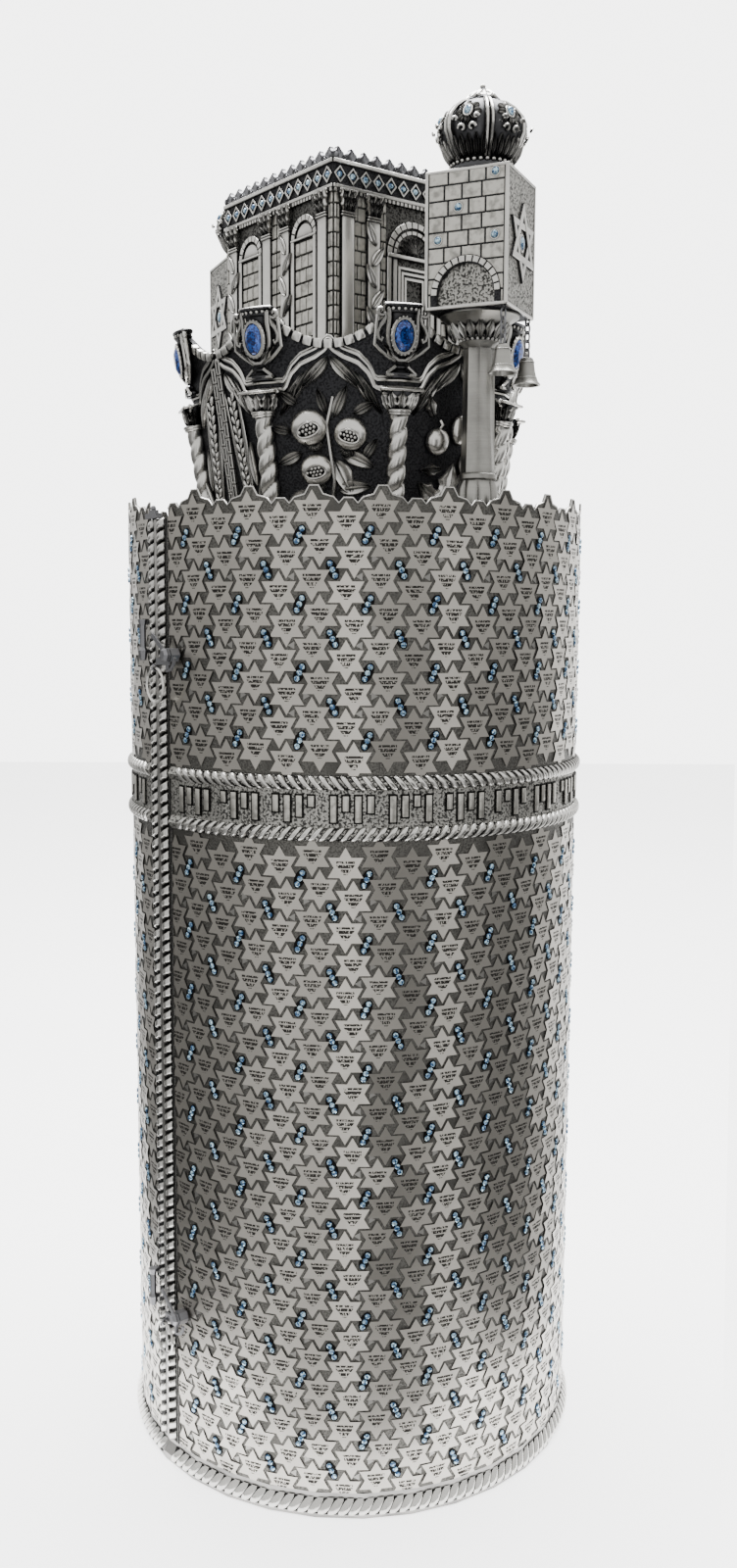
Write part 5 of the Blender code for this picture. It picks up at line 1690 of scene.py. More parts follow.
@dataclass
class Building:
    """The square building: brickwork, pilasters, arched windows, doorway, jewelled frieze and merlons."""

    half_x: float = 60 * MM
    half_y: float = 61 * MM
    frieze_bottom: float = 803.5 * MM
    frieze_top: float = 820.0 * MM
    proud: float = 1.4 * MM
    brick: float = 8.4 * MM
    depth: float = 198 * MM
    window_radius: float = 13.5 * MM
    window_spring: float = 781 * MM
    door_radius: float = 21.5 * MM
    door_spring: float = 772 * MM

    def facades(self, side: Side) -> list:
        """The faces of one half: front, back and flank.

        Args:
            side: which half.

        Returns:
            The three faces.
        """
        way = side.value
        front = turned_to(0, Vector((0, -self.half_y, self.frieze_bottom)))
        back = turned_to(math.pi, Vector((0, self.half_y, self.frieze_bottom)))
        flank = turned_to(way * math.pi / 2, Vector((way * self.half_x, 0, self.frieze_bottom)))
        wide = (SEAM_GAP, self.half_x)
        one, other = (wide, (-wide[1], -wide[0])) if way > 0 else ((-wide[1], -wide[0]), wide)
        return [Facade(front, *one), Facade(back, *other), Facade(flank, -self.half_y, self.half_y)]

    def bricks(self, shape: Shape, face: Facade, left: float, right: float, width: float) -> None:
        """Adds courses of bevelled bricks between two upright lines.

        Args:
            shape: what they are added to.
            face: which face.
            left: the line at their left.
            right: the line at their right.
            width: the width of a brick.
        """
        for row in range(int(self.depth / self.brick)):
            low = -(row + 1) * self.brick
            x = left - (width / 2 if row % 2 else 0)
            while x < right - 0.5 * MM:
                a, b = max(x, left), min(x + width, right)
                if b - a > 1.2 * MM:
                    corner = (b - 0.3 * MM, low + self.brick - 0.3 * MM, 1.1 * MM)
                    form = cube((a + 0.3 * MM, low + 0.3 * MM, -1 * MM), corner, 0.45 * MM)
                    shape.add(form, face.frame, BRICK)
                x += width

    def pilaster(self, shape: Shape, face: Facade, x: float, wrapped: bool) -> None:
        """Adds a pilaster with a flaring leaf capital, smooth or wrapped in leaves.

        Args:
            shape: what it is added to.
            face: which face.
            x: how far right it is.
            wrapped: whether leaves wrap it.
        """
        half = 4.5 * MM
        place = face.frame @ shift(x)
        shaft = cube((-half, -self.depth, -1 * MM), (half, -14 * MM, 2.3 * MM), 0.9 * MM, 2)
        shape.add(shaft, place, FINE)
        if wrapped:
            for k in range(14):
                tip = leaf(15 * MM, 6 * MM, 1.4 * MM, 1 * MM)
                way = 1 if k % 2 else -1
                shape.add(tip, place @ shift(*mm(1.6 * way, 12.4 * k - 190, 2.2)) @ turn(32 * way), CAST)
        for level, reach in ((-15.2, 5.3), (-13.6, 4.9)):
            shape.add(cube(mm(-reach, level, -1), mm(reach, level + 1.3, 3.0), EDGE), place, CAST)
        for low, reach, out in ((-12.3, 3.4, 2.4), (-7.6, 4.2, 3.2)):
            for k in range(-1, 2):
                tip = leaf(7.6 * MM, 3.8 * MM, 1.6 * MM, 0.4 * k * MM, 2)
                spot = shift(*mm(k * reach * 0.95, low, out * 0.7))
                shape.add(tip, place @ spot @ turn(-10 * k) @ turn(14, "X"), CAST)
        for way in (-1, 1):
            volute = scroll((4.6, -2.8), (1.9, 1.9), 0.2, 0.8, 8, way, 2.6)
            shape.add(tube(volute, 0.7 * MM), place, CAST)
        shape.add(cube(mm(-6.6, -1.3, -1), mm(6.6, 0.3, 3.4), EDGE), place, CAST)

    def arch(self, shape: Shape, place: Matrix, outer: float, inner: float, stones: int, out: float) -> None:
        """Adds a half ring of wedge-shaped stones.

        Args:
            shape: what it is added to.
            place: a frame with its origin in the middle of the springing line.
            outer: outer radius.
            inner: inner radius.
            stones: how many stones.
            out: how proud they are.
        """
        for k in range(stones):
            a, b = 180 * (k + 0.06) / stones, 180 * (k + 0.94) / stones
            outline = arc((0, 0), outer, a, b, 3) + arc((0, 0), inner, b, a, 2)
            shape.add(plate([outline], out + 1 * MM, 0.25 * MM), place @ shift(z=-1 * MM), FINE)

    def window(self, shape: Shape, face: Facade, x: float) -> None:
        """Adds an arched window: voussoirs, a plain lunette and brick rows.

        Args:
            shape: what it is added to.
            face: which face.
            x: how far right it is.
        """
        r = self.window_radius
        place = face.frame @ shift(x, self.window_spring - self.frieze_bottom)
        self.arch(shape, place, r, r - 3.4 * MM, 9, 1.6 * MM)
        inner = r - 3.6 * MM
        lunette = arc((0, 0), inner - 1.2 * MM, 0, 180, 10)
        shape.add(plate([lunette], 1.4 * MM, 0.3 * MM), place @ shift(z=-0.6 * MM), FINE)
        for way in (-1, 1):
            low, high = sorted((way * (r - 3.2 * MM), way * r))
            shape.add(cube((low, -174 * MM, -1 * MM), (high, 0, 1.9 * MM), EDGE), place, FINE)
        shape.add(cube((-r, -0.8 * MM, -1 * MM), (r, 0.8 * MM, 2.2 * MM), EDGE), place, FINE)
        joint = 0.25 * MM
        for row in range(20):
            low = -(row + 1) * 8.3 * MM - 1.2 * MM
            cuts = [inner * share for share in ((-1, -0.30, 0.42, 1) if row % 2 else (-1, -0.5, 0.2, 1))]
            for a, b in zip(cuts, cuts[1:]):
                form = cube((a + joint, low, -1 * MM), (b - joint, low + 7.7 * MM, 0.9 * MM), 0.5 * MM)
                shape.add(form, place, BRICK)

    def door(self, shape: Shape, face: Facade) -> None:
        """Adds the big doorway: nested arches, a shell in the head and a panelled door.

        Args:
            shape: what it is added to.
            face: which face.
        """
        place = face.frame @ shift(y=self.door_spring - self.frieze_bottom)
        r = self.door_radius
        self.arch(shape, place, r, r - 3.6 * MM, 13, 1.9 * MM)
        self.arch(shape, place, r - 5.0 * MM, r - 7.4 * MM, 11, 1.3 * MM)
        shape.stamp(leaf(*mm(12.5, 3.6, 1.5)), [place @ turn(20 * k) for k in range(-4, 5)], CAST)
        for inset, out in ((0.0, 1.9), (5.0, 1.3)):
            reach = r - inset * MM
            for way in (-1, 1):
                low, high = sorted((way * (reach - 3.2 * MM), way * reach))
                shape.add(cube((low, -165 * MM, -1 * MM), (high, 0, out * MM), EDGE), place, FINE)
        shape.add(cube((-r, -1.8 * MM, -1 * MM), (r, 0.6 * MM, 2.6 * MM), EDGE), place, FINE)
        for half, top in ((12.6, -6.0), (10.2, -9.0), (7.8, -12.0)):
            outline = [mm(-half, -165), mm(half, -165), mm(half, top), mm(-half, top)]
            inner = [(x * (1 - 1.4 / half), y if y < -100 * MM else y - 1.4 * MM) for x, y in outline]
            shape.add(plate([outline, inner], 1.8 * MM, 0.2 * MM), place @ shift(z=-0.4 * MM), FINE)
        for k in range(3):
            middle = place @ shift(y=(-34 - 26 * k) * MM)
            self.arch(shape, middle, 6.4 * MM, 4.6 * MM, 7, 1.1 * MM)

    def frieze(self, shape: Shape, stones: Shape, face: Facade) -> None:
        """Adds the frieze with its diamonds, its stones, its dentils and the leaf merlons.

        Args:
            shape: what it is added to.
            stones: what its stones are added to.
            face: which face.
        """
        reach = self.proud
        left = face.left - (reach if face.left < -50 * MM else 0)
        right = face.right + (reach if face.right > 50 * MM else 0)
        high = self.frieze_top - self.frieze_bottom
        for low, top, out in ((0.0, 2.2, 2.6), (14.0, 16.5, 2.8)):
            strip = cube((left, low * MM, -1 * MM), (right, top * MM, out * MM), EDGE)
            shape.add(strip, face.frame, FINE)
        count = max(1, round((right - left) / (9.6 * MM)))
        pitch = (right - left) / count
        for k in range(count):
            x = left + (k + 0.5) * pitch
            place = face.frame @ shift(x, 8.1 * MM, reach)
            outline = [(pitch * 0.46, 0), (0, 5.2 * MM), (-pitch * 0.46, 0), (0, -5.2 * MM)]
            inner = [(0.68 * a, 0.68 * b) for a, b in outline]
            shape.add(plate([outline, inner], 1.1 * MM, 0.2 * MM), place @ shift(z=-0.2 * MM), FINE)
            gem = lathe([mm(*row) for row in ((0, 1.3), (1.2, 1.2), (1.9, 0.4), (1.9, -0.3), (0, -0.3))], 10)
            stones.add(gem, place, SMALL_STONE)
        dentils = max(1, round((right - left) / (3.1 * MM)))
        step = (right - left) / dentils
        for k in range(dentils):
            x = left + (k + 0.5) * step
            dentil = cube((x - 0.32 * step, -2.0 * MM, -1 * MM), (x + 0.32 * step, 0, 2.2 * MM))
            shape.add(dentil, face.frame, FINE)
        merlons = max(1, round((right - left) / (9.8 * MM)))
        wide = (right - left) / merlons
        for k in range(merlons):
            x = left + (k + 0.5) * wide
            back = face.frame @ shift(x, high - 0.4 * MM, reach - 2.4 * MM)
            tip = leaf(8.4 * MM, wide * 0.98, 2.2 * MM, 0, 2)
            shape.add(tip, back, DARK)
            for way in (-1, 1):
                small = leaf(5.0 * MM, wide * 0.42, 1.8 * MM, way * 1.2 * MM)
                shape.add(small, back @ shift(way * wide * 0.26, 0, 0.2 * MM) @ turn(-way * 22), DARK)

    def build(self, side: Side) -> None:
        """Makes one half of the building.

        Args:
            side: which half.
        """
        way = side.value
        label = f"{side.label}_building"
        walls = Shape(f"{label}_relief")
        stones = Shape(f"{label}_stones")
        low, high = sorted((way * SEAM_GAP, way * self.half_x))
        core = cube((low, -self.half_y, ON_LID), (high, self.half_y, self.frieze_bottom + 1 * MM))
        walls.add(core, Matrix(), GROUND)
        low, high = sorted((way * SEAM_GAP, way * (self.half_x + self.proud)))
        wide = self.half_y + self.proud
        block = cube((low, -wide, self.frieze_bottom), (high, wide, self.frieze_top))
        walls.add(block, Matrix(), BLACK_GROUND)
        for number, face in enumerate(self.facades(side)):
            self.frieze(walls, stones, face)
            if number < 2:
                out = 1 if face.right > 50 * MM else -1
                near, far = 10.5 * MM, 50.5 * MM
                self.pilaster(walls, face, out * near, wrapped=out > 0)
                self.pilaster(walls, face, out * far, wrapped=out < 0)
                self.window(walls, face, out * (near + far) / 2)
                a, b = sorted((out * 0.3 * MM, out * (near - 5 * MM)))
                self.bricks(walls, face, a, b, 5.2 * MM)
                a, b = sorted((out * (far + 5 * MM), out * (self.half_x - 0.1 * MM)))
                self.bricks(walls, face, a, b, 4.4 * MM)
            else:
                self.door(walls, face)
                for x, wrapped in ((-51.5, False), (-32, True), (32, True), (51.5, False)):
                    self.pilaster(walls, face, x * MM, wrapped)
                for near, far, width in ((56.8, 60.9, 4.0), (37.0, 46.6, 6.0), (21.8, 26.6, 5.0)):
                    self.bricks(walls, face, *mm(-far, -near, width))
                    self.bricks(walls, face, *mm(near, far, width))
        walls.done(side.body, "case_silver", [label])
        stones.done(side.body, "case_silver", sharp=12)


@dataclass(frozen=True)
class Place:
    """Where a finial stands, its turn, the faces with a niche and the corners with a bell."""

    label: str
    centre_x: float
    degrees: float
    niche: int
    bells: tuple

    @property
    def body(self) -> str:
        """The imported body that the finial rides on."""
        return f"{self.label}_half"

    @property
    def frame(self) -> Matrix:
        """The finial's own frame."""
        return shift(self.centre_x) @ turn(self.degrees)


@dataclass
class Finial:
    """A finial: fluted column, brick tower with niches and stars, ribbed dome and bells."""

    place: Place
    side: float = 49.5 * MM
    bottom: float = 727.5 * MM
    top: float = 804.3 * MM
    dome_radius: float = 25.5 * MM
    dome_height: float = 52.5 * MM
    links: int = 4

    def face(self, quarter: int, z: float) -> Matrix:
        """A frame on a face of the tower, in the middle, at a height."""
        out = turned_to(0, Vector((0, -self.side / 2, z)))
        return self.place.frame @ turn(90 * quarter) @ out

    def column(self) -> None:
        """Makes the fluted column with its gadrooned base and flaring capital."""
        shape = Shape(f"{self.place.label}_tower_column_fluted")
        foot, top = ON_LID, self.bottom - GAP
        upper = (
            (0, 0), (23.5, 0), (23.5, 1.2), (21.5, 2.6), (16.5, 6.5), (12.4, 10.5), (11.6, 11.2),
            (12.0, 12.4), (11.6, 13.6), (11.0, 14.4), (11.6, 15.4), (10.2, 17.0), (9.2, 19.0),
        )
        lower = (
            (9.6, 60), (10.2, 31), (11.4, 30), (11.4, 27.6), (10.4, 26.6), (12.4, 22.0), (12.8, 15.0),
            (12.0, 7.5), (13.2, 6.6), (13.5, 5), (13.5, 0), (0, 0),
        )
        turned = [(r * MM, top - z * MM) for r, z in upper] + [(r * MM, foot + z * MM) for r, z in lower]
        form = lathe(turned, 48)
        for vert in form.verts:
            z, angle = vert.co.z, math.atan2(vert.co.y, vert.co.x)
            size = 1.0
            if foot + 32 * MM < z < top - 18 * MM:
                size = 1 - 0.17 * abs(math.cos(4 * angle)) ** 0.6
            elif foot + 8 * MM < z < foot + 26 * MM:
                size = 0.84 + 0.16 * abs(math.cos(4 * angle)) ** 0.7
            elif z > top - 11 * MM and z < top - 1.5 * MM:
                size = 0.93 + 0.07 * abs(math.cos(8 * angle))
            vert.co.x *= size
            vert.co.y *= size
        shape.add(form, self.place.frame, COLUMN)
        for k in range(24):
            bead = globe(mm(1.1, 1.1, 1.0), 6, 4)
            shape.add(bead, self.place.frame @ turn(15 * k) @ shift(x=11.7 * MM, z=top - 14.6 * MM), CAST)
        for k in range(16):
            wrap = leaf(15 * MM, 6.2 * MM, 1.4 * MM, 0, 2)
            seat = turned_to(0, Vector((0, -10.4 * MM, top - 15 * MM))) @ turn(34, "X")
            shape.add(wrap, self.place.frame @ turn(22.5 * k) @ seat, CAST)
        shape.done(self.place.body, "case_silver", [f"{self.place.label}_tower_column"])

    def brick_face(self, shape: Shape, stones: Shape, quarter: int) -> None:
        """Adds the brickwork, the niche and the small stones of one face.

        Args:
            shape: what it is added to.
            stones: what its stones are added to.
            quarter: which face of the tower.
        """
        half = self.side / 2 - 1.6 * MM
        course = (self.top - self.bottom) / 9
        spring = self.bottom + 7.6 * MM
        ring = 21.0 * MM
        joints = ((0.26, 0.53, 0.75), (0.21, 0.44, 0.70))
        gems = {(0, 3), (2, 1), (4, 0), (4, 3)}
        place = self.face(quarter, 0)
        for row in range(9):
            high = self.top - row * course
            cuts = [-half, *[-half + 2 * half * share for share in joints[row % 2]], half]
            low = high - course
            for k, (a, b) in enumerate(zip(cuts, cuts[1:])):
                rise = high - spring - 0.7 * MM
                reach = math.sqrt(ring**2 - max(0.0, rise) ** 2) if rise < ring else 0
                clear = low - spring > ring
                for left, right in [(a, b)] if reach == 0 else [(a, min(b, -reach)), (max(a, reach), b)]:
                    if right - left < 1.4 * MM:
                        continue
                    left, right, top = left + 0.45 * MM, right - 0.45 * MM, high - spring - 0.45 * MM
                    floor = low - spring + 0.35 * MM
                    arch = []
                    for x in [left + (right - left) * j / 8 for j in range(9)]:
                        curve = math.sqrt(ring**2 - x * x) + 0.3 * MM if abs(x) < ring else floor
                        arch.append((x, max(floor, curve)))
                    foot = [(left, floor), (right, floor)] if clear else arch
                    form = plate([[*foot, (right, top), (left, top)]], 1.25 * MM, 0.25 * MM)
                    shape.add(form, self.face(quarter, spring) @ shift(z=-1 * MM), BRICK)
                if (row, k) in gems and clear:
                    spot = place @ shift((a + b) / 2, high - course / 2, 0.2 * MM)
                    stones.add(self.small_gem(), spot, SMALL_STONE)
                    shape.add(self.collar(2.6 * MM), spot, CAST)
        springing = self.face(quarter, spring)
        for k in range(14):
            a, b = 180 * (k + 0.07) / 14, 180 * (k + 0.93) / 14
            outline = arc((0, 0), ring, a, b, 3) + arc((0, 0), 17.6 * MM, b, a, 2)
            shape.add(plate([outline], 1.9 * MM, 0.25 * MM), springing @ shift(z=-1 * MM), FINE)
        inner = [(17.5 * MM, -7.4 * MM), *arc((0, 0), 17.5 * MM, 0, 180, 16), (-17.5 * MM, -7.4 * MM)]
        shape.add(plate([inner], 0.6 * MM), springing @ shift(z=-2.9 * MM), BAND_GROUND)

    def small_gem(self) -> Form:
        """A small round faceted stone."""
        return lathe([mm(*row) for row in ((0, 1.5), (1.2, 1.35), (2.1, 0.6), (2.1, -0.3), (0, -0.3))], 10)

    def collar(self, radius: float) -> Form:
        """A thin round collar."""
        return tube(oval(radius, radius, 14), 0.45 * MM, cyclic=True)

    def star_face(self, shape: Shape, stones: Shape, quarter: int) -> None:
        """Adds the interlaced star with its upright oval stone on a stippled face.

        Args:
            shape: what it is added to.
            stones: what its stones are added to.
            quarter: which face of the tower.
        """
        middle = (self.bottom + self.top) / 2
        place = self.face(quarter, middle)
        half, high = self.side / 2 - 2.2 * MM, (self.top - self.bottom) / 2 - 2.2 * MM
        panel = cube((-half, -high, -1 * MM), (half, high, 0.15 * MM))
        shape.add(panel, place, BAND_GROUND)
        for flip in (0, 180):
            corners = arc((0, 0), 22.2 * MM, 90, 330, 2)
            inner = [(0.66 * x, 0.66 * y) for x, y in corners]
            seat = place @ turn(flip) @ shift(z=(-0.3 if flip else -0.1) * MM)
            shape.add(plate([corners, inner], 1.9 * MM, 0.35 * MM), seat, FINE)
        rows = [(0, 1.9), (0.6, 1.8), (1.0, 0.6), (1.0, -0.4), (0, -0.4)]
        stones.add(cut_stone(rows, 12, 2.6 * MM, 4.0 * MM), place, SMALL_STONE)
        shape.add(tube(oval(3.4 * MM, 4.9 * MM, 18, 0.2 * MM), 0.8 * MM, cyclic=True), place, CAST)

    def tower(self) -> None:
        """Makes the square tower."""
        label = f"{self.place.label}_tower_box"
        shape, stones = Shape(f"{label}_bricks"), Shape(f"{label}_stones")
        half = self.side / 2
        for quarter in range(4):
            place = self.face(quarter, 0)
            if quarter % 2 == self.place.niche:
                self.brick_face(shape, stones, quarter)
            else:
                self.star_face(shape, stones, quarter)
            corner = place @ shift(-half, 0, 0)
            ends = [(0.6 * MM, z, -0.6 * MM) for z in (self.bottom + 0.6 * MM, self.top - 0.6 * MM)]
            shape.add(tube(ends, 1.3 * MM, 2), corner, FINE)
            for level in (self.bottom + 0.9 * MM, self.top - 0.9 * MM):
                low, high = level - 0.9 * MM, level + 0.9 * MM
                shape.add(cube((-half, low, -1.5 * MM), (half, high, 0.5 * MM), 0.3 * MM), place, FINE)
        dress_node(label, BLACK_GROUND)
        shape.done(self.place.body, "case_silver")
        stones.done(self.place.body, "case_silver", sharp=12)

    def on_dome(self, degrees: float, out: float, up: float, lean: float) -> Matrix:
        """A frame on the dome.

        Args:
            degrees: its turn about the dome's axis.
            out: its distance from the axis, as a share of the radius.
            up: its height, as a share of the dome's.
            lean: how far it leans outwards, in degrees.

        Returns:
            The frame.
        """
        seat = turned_to(0, Vector((0, -out * self.dome_radius, up * self.dome_height))) @ turn(lean, "X")
        return self.place.frame @ shift(z=self.top + GAP) @ turn(degrees + 90) @ seat

    def dome(self) -> None:
        """Makes the ribbed dome with its petals, scrolls and faceted hood."""
        shape = Shape(f"{self.place.label}_tower_dome_chased")
        stones = Shape(f"{self.place.label}_tower_dome_stones")
        foot, wide, high = self.top + GAP, self.dome_radius, self.dome_height
        shares = [
            (0, 0.985), (0.06, 0.955), (0.16, 0.90), (0.30, 0.85), (0.40, 0.825), (0.44, 0.80),
            (0.40, 0.785), (0.56, 0.76), (0.74, 0.69), (0.90, 0.60), (0.97, 0.52), (0.97, 0.42), (0.88, 0.31),
            (0.74, 0.21), (0.64, 0.145), (0.62, 0.12), (0.70, 0.10), (0.72, 0.06), (0.72, 0), (0, 0),
        ]
        form = lathe([(r * wide, z * high) for r, z in shares], 60)
        for vert in form.verts:
            share, angle = vert.co.z / high, math.atan2(vert.co.y, vert.co.x)
            if 0.14 < share < 0.77:
                lobe = 0.93 + 0.07 * abs(math.sin(3 * angle)) ** 0.6
            elif share > 0.79:
                lobe = 0.86 + 0.14 * abs(math.cos(3 * angle))
            else:
                lobe = 1.0
            vert.co.x *= lobe
            vert.co.y *= lobe
        place = self.place.frame @ shift(z=foot)
        shape.add(form, place, SHADOWED)
        line = (
            (0.40, 0.785), (0.58, 0.76), (0.78, 0.69), (0.94, 0.60), (1.01, 0.52), (1.01, 0.42), (0.91, 0.31),
            (0.76, 0.21), (0.66, 0.145),
        )
        rows = [(0, 1.6), (0.6, 1.5), (1.0, 0.5), (1.0, -0.8), (0, -0.8)]
        for k in range(6):
            for offset in (-3.2, 3.2):
                path = [turn(60 * k + offset) @ Vector((r * wide, 0, z * high)) for r, z in line]
                shape.add(tube(path, 1.05 * MM), place, CAST)
            middle = 60 * k + 30
            seat = self.on_dome(middle, 0.94, 0.58, -24)
            stones.add(cut_stone(rows, 12, 1.9 * MM, 2.9 * MM), seat @ shift(z=0.6 * MM), SMALL_STONE)
            shape.add(tube(oval(2.5 * MM, 3.6 * MM, 16, 0.3 * MM), 0.6 * MM, cyclic=True), seat, CAST)
            petals = [seat @ turn(45 * j) @ shift(y=2.7 * MM, z=-0.6 * MM) @ turn(-15, "X") for j in range(8)]
            shape.stamp(leaf(*mm(5.2, 3.4, 1.5)), petals, CAST)
            low = self.on_dome(middle, 0.92, 0.36, 24)
            for way in (-1, 1):
                for centre, size in (((3.0, 2.6), 2.5), ((6.2, 7.6), 1.9)):
                    curl = scroll(centre, (size, size), 0.26, 0.7, 8, way, 1.0)
                    shape.add(tube(curl, 0.8 * MM), low, CAST)
            tongues = [self.on_dome(middle + 11.5 * j, 0.68, 0.15, 29) for j in range(-2, 3)]
            shape.stamp(leaf(*mm(12.5, 4.2, 2.2)), tongues, CAST)
            shape.add(leaf(*mm(12.5, 10.5, 1.6)), self.on_dome(60 * k, 0.42, 0.79, -52), CAST)
        beads = [place @ turn(12 * k) @ shift(x=0.70 * wide, z=high * 0.115) for k in range(30)]
        shape.stamp(globe(mm(1.3, 1.3, 1.3), 8, 5), beads, CAST)
        knob = globe(mm(1.7, 1.7, 1.6), 10, 7)
        shape.add(knob, place @ shift(z=high - 1.6 * MM), CAST)
        shape.done(self.place.body, "dark_silver", [f"{self.place.label}_tower_dome"], sharp=40)
        stones.done(self.place.body, "dark_silver", sharp=12)

    def bells(self) -> None:
        """Makes the bells on their links."""
        for number, corner in enumerate(self.place.bells, 1):
            reach = self.side / math.sqrt(2) - 3.5 * MM
            spot = self.place.frame @ around(reach, math.pi / 4 + corner * math.pi / 2, 0)
            crown = self.bottom - 21.5 * MM
            shape = Shape(f"{self.place.label}_bell_{number}_turned")
            rows = (
                (0, 0), (2.2, 0), (3.6, -0.8), (4.3, -2.4), (4.6, -5.0), (5.1, -8.5), (5.8, -11.5),
                (7.0, -14.4), (8.4, -16.0), (8.4, -16.5), (7.4, -16.4), (6.0, -14.2), (4.9, -11.0),
                (4.2, -8.0), (3.4, -4.2), (0, -2.6),
            )
            bell = lathe([mm(*row) for row in rows], 28)
            shape.add(bell, shift(spot.x, spot.y, crown), COLUMN)
            for level, radius in ((-3.0, 4.4), (-12.2, 6.0)):
                ring = oval(radius * MM, radius * MM, 24, level * MM)
                shape.add(tube(ring, 0.4 * MM, cyclic=True), shift(spot.x, spot.y, crown), CAST)
            top, low = self.bottom - 2.4 * MM, crown - 0.6 * MM
            span = (top - low) / self.links
            for k in range(self.links):
                middle = low + (k + 0.5) * span
                ring = []
                for u, v, _ in oval(1.8 * MM, span / 2 + 0.7 * MM, 12):
                    aside = (0, u) if k % 2 else (u, 0)
                    ring.append((spot.x + aside[0], spot.y + aside[1], middle + v))
                shape.add(tube(ring, 0.6 * MM, cyclic=True), Matrix(), DARK)
            shape.done(self.place.body, "case_silver", [f"{self.place.label}_bell_{number}"])

    def build(self) -> None:
        """Makes the whole finial."""
        self.column()
        self.tower()
        self.dome()
        self.bells()


@dataclass
class Fittings:
    """The hinge, the catch, the latches and the shells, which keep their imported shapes."""

    dark: tuple = (
        "right_hinge_leaf", "left_hinge_leaf", "hinge_pin", "top_catch", "upper_latch_base",
        "lower_latch_base", "upper_latch_lever", "lower_latch_lever", "upper_latch_post", "lower_latch_post",
    )
    bright: tuple = ("upper_pull_ring", "lower_pull_ring")
    plain: tuple = ("right_case_shell", "left_case_shell")

    def build(self) -> None:
        """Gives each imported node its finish."""
        for names, finish in ((self.dark, DARK), (self.bright, FINE), (self.plain, PLAIN)):
            for name in names:
                dress_node(name, finish)
                LOG.info("%s: %s", name, finish.name)


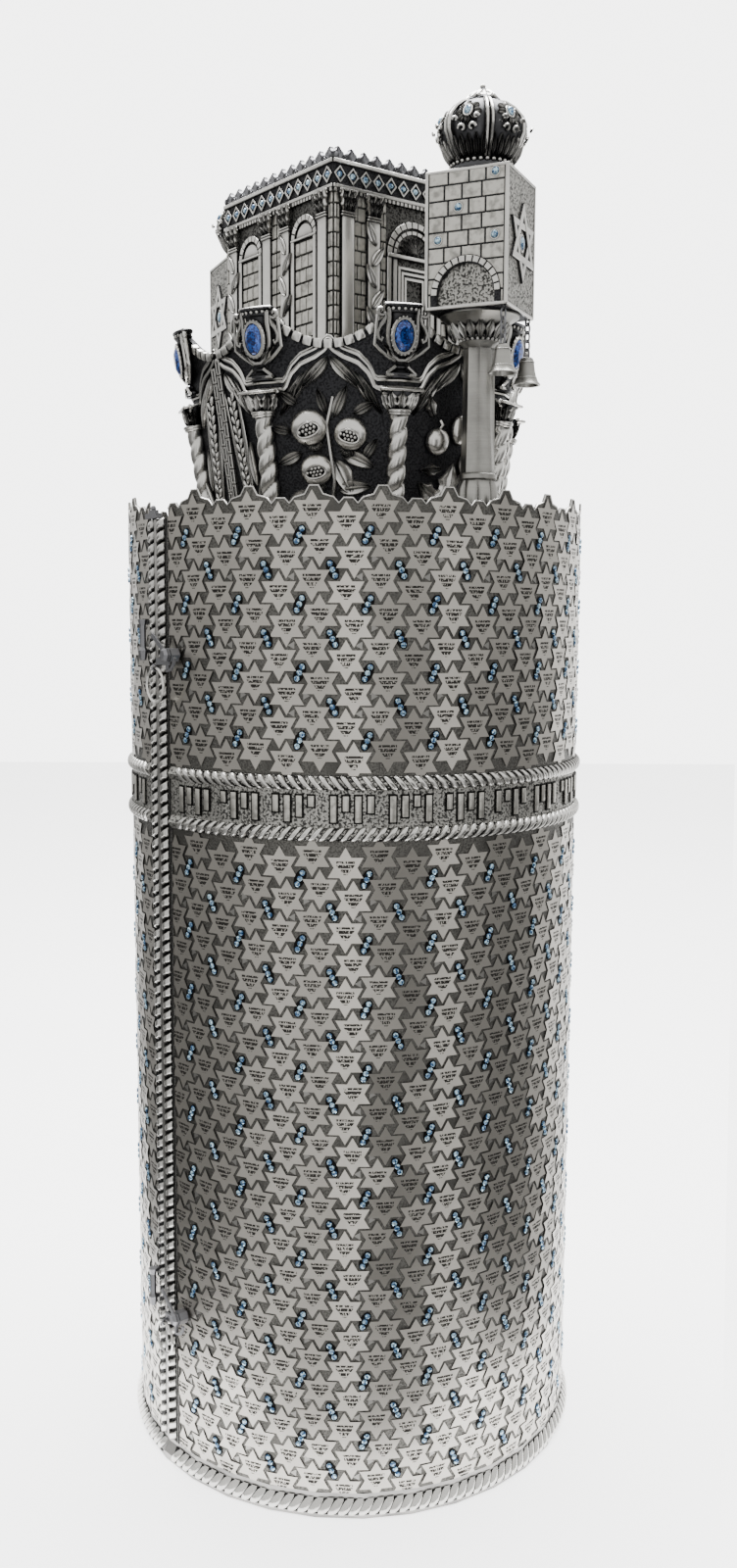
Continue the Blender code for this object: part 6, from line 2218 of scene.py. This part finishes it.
@dataclass
class Studio:
    """The pale floor, the soft lights and the camera at the photograph's angle."""

    azimuth: float = math.radians(53.5)
    distance: float = 926.0873 * MM
    height: float = 551.0881 * MM
    pitch: float = 0.12250
    yaw: float = 0.01060
    roll: float = 0.00430
    focal: float = 1384.6707
    long_side: float = 1600.0
    panel_size: tuple = (1.8, 1.4)
    panel_power: float = 130.0
    panel_away: float = 0.5
    panel_height: float = 2.3
    panel_aim: float = 0.3
    floor_near: tuple = (0.21, -0.215)
    floor_far: tuple = (1.45, 4.2)
    room: tuple = (
        (-180, 0.90), (-160, 0.60), (-140, 0.16), (-115, 0.05), (-80, 0.07), (-55, 0.12), (-40, 0.28),
        (-28, 0.26), (-15, 0.13), (-6, 0.46), (3, 0.48), (11, 0.08), (18, 0.02), (30, 0.02), (37, 0.14),
        (43, 0.34), (51, 0.30), (62, 0.07), (85, 0.05), (105, 0.10), (124, 0.42), (150, 0.80), (179, 0.90),
    )

    def camera(self) -> None:
        """Places the camera."""
        sp, cp = math.sin(self.pitch), math.cos(self.pitch)
        sy, cy = math.sin(self.yaw), math.cos(self.yaw)
        sr, cr = math.sin(self.roll), math.cos(self.roll)
        ahead = Vector((sy * cp, cy * cp, -sp))
        right = Vector((cy, -sy, 0))
        up = right.cross(ahead)
        rolled_right, rolled_up = cr * right + sr * up, cr * up - sr * right
        rows = [list(row) for row in zip(rolled_right, rolled_up, -ahead)]
        spin = Matrix.Rotation(self.azimuth, 3, "Z") @ Matrix(rows)
        data = bpy.data.cameras.new("camera")
        data.sensor_width = 36
        data.sensor_fit = "AUTO"
        data.lens = 36 * self.focal / self.long_side
        camera = bpy.data.objects.new("camera", data)
        camera.location = around(self.distance, self.azimuth, self.height)
        camera.rotation_mode = "QUATERNION"
        camera.rotation_quaternion = spin.to_quaternion()
        bpy.context.scene.collection.objects.link(camera)
        bpy.context.scene.camera = camera

    def overhead(self) -> None:
        """Hangs one soft panel of light over the back of the case, facing it."""
        data = bpy.data.lights.new("overhead", "AREA")
        data.shape = "RECTANGLE"
        data.size, data.size_y = self.panel_size
        data.energy = self.panel_power
        lamp = bpy.data.objects.new("overhead", data)
        lamp.location = around(self.panel_away, self.azimuth + math.pi, self.panel_height)
        toward = Vector((0, 0, self.panel_aim)) - lamp.location
        lamp.rotation_mode = "QUATERNION"
        lamp.rotation_quaternion = toward.to_track_quat("-Z", "Y")
        bpy.context.scene.collection.objects.link(lamp)

    def build(self) -> None:
        """Makes the floor, the lights, the pale surroundings and the camera."""
        bm = bmesh.new()
        bmesh.ops.create_grid(bm, x_segments=1, y_segments=1, size=1)
        for vert in bm.verts:
            wide, away = self.floor_far if vert.co.y > 0 else self.floor_near
            vert.co = (wide if vert.co.x > 0 else -wide, away, 0)
        bm.transform(turn(math.degrees(self.azimuth)))
        mesh = bpy.data.meshes.new("floor")
        bm.to_mesh(mesh)
        bm.free()
        mesh.materials.append(Pale().material())
        floor = bpy.data.objects.new("floor", mesh)
        bpy.context.scene.collection.objects.link(floor)
        self.surroundings()
        self.overhead()
        self.camera()

    def surroundings(self) -> None:
        """Makes the room: white to the camera, and upright bands of light and shade in the silver."""
        world = bpy.data.worlds.new("surroundings")
        wiring = Wiring(world)
        inputs = {"Vector": wiring.place, "Angle": -self.azimuth}
        facing = wiring.node("ShaderNodeVectorRotate", inputs, rotation_type="Z_AXIS").outputs[0]
        parts = wiring.node("ShaderNodeSeparateXYZ", {0: facing})
        toward = wiring.math("MULTIPLY", parts.outputs[1], -1.0)
        angle = wiring.math("ARCTAN2", parts.outputs[0], toward)
        share = wiring.math("ADD", wiring.math("DIVIDE", angle, 2 * math.pi), 0.5)
        bands = wiring.node("ShaderNodeValToRGB", {"Fac": share})
        stops = bands.color_ramp.elements
        for number, (degrees, level) in enumerate(self.room):
            place = degrees / 360 + 0.5
            stop = stops[0] if number == 0 else stops.new(place)
            stop.position = place
            stop.color = (level, level, level * 0.99, 1)
        stops.remove(stops[-1])
        upward = wiring.ramp(parts.outputs[2], 0.0, 0.20)
        room = wiring.mix(upward, bands.outputs[0], (0.33, 0.33, 0.325, 1))
        seen = wiring.node("ShaderNodeLightPath", {}).outputs["Is Camera Ray"]
        colour = wiring.mix(seen, room, (1.5, 1.5, 1.49, 1))
        wiring.feed(wiring.shader.inputs["Color"], colour)
        wiring.feed(wiring.shader.inputs["Strength"], 3.4)
        bpy.context.scene.world = world


def main() -> None:
    """Builds each part of the case in order."""
    logging.basicConfig(level=logging.INFO, format="%(message)s")
    for side in Side:
        for sheet in Sheet:
            StarSheets().build(side, sheet)
        RopeRings().build(side)
        SeamStrips().build(side)
        Coronet().build(side)
        Building().build(side)
    for place in (Place("right", 123 * MM, 28.5, 0, (0, 1)), Place("left", -126 * MM, -14.5, 1, (2, 3))):
        Finial(place).build()
    Fittings().build()
    Studio().build()


if __name__ == "__main__":
    main()
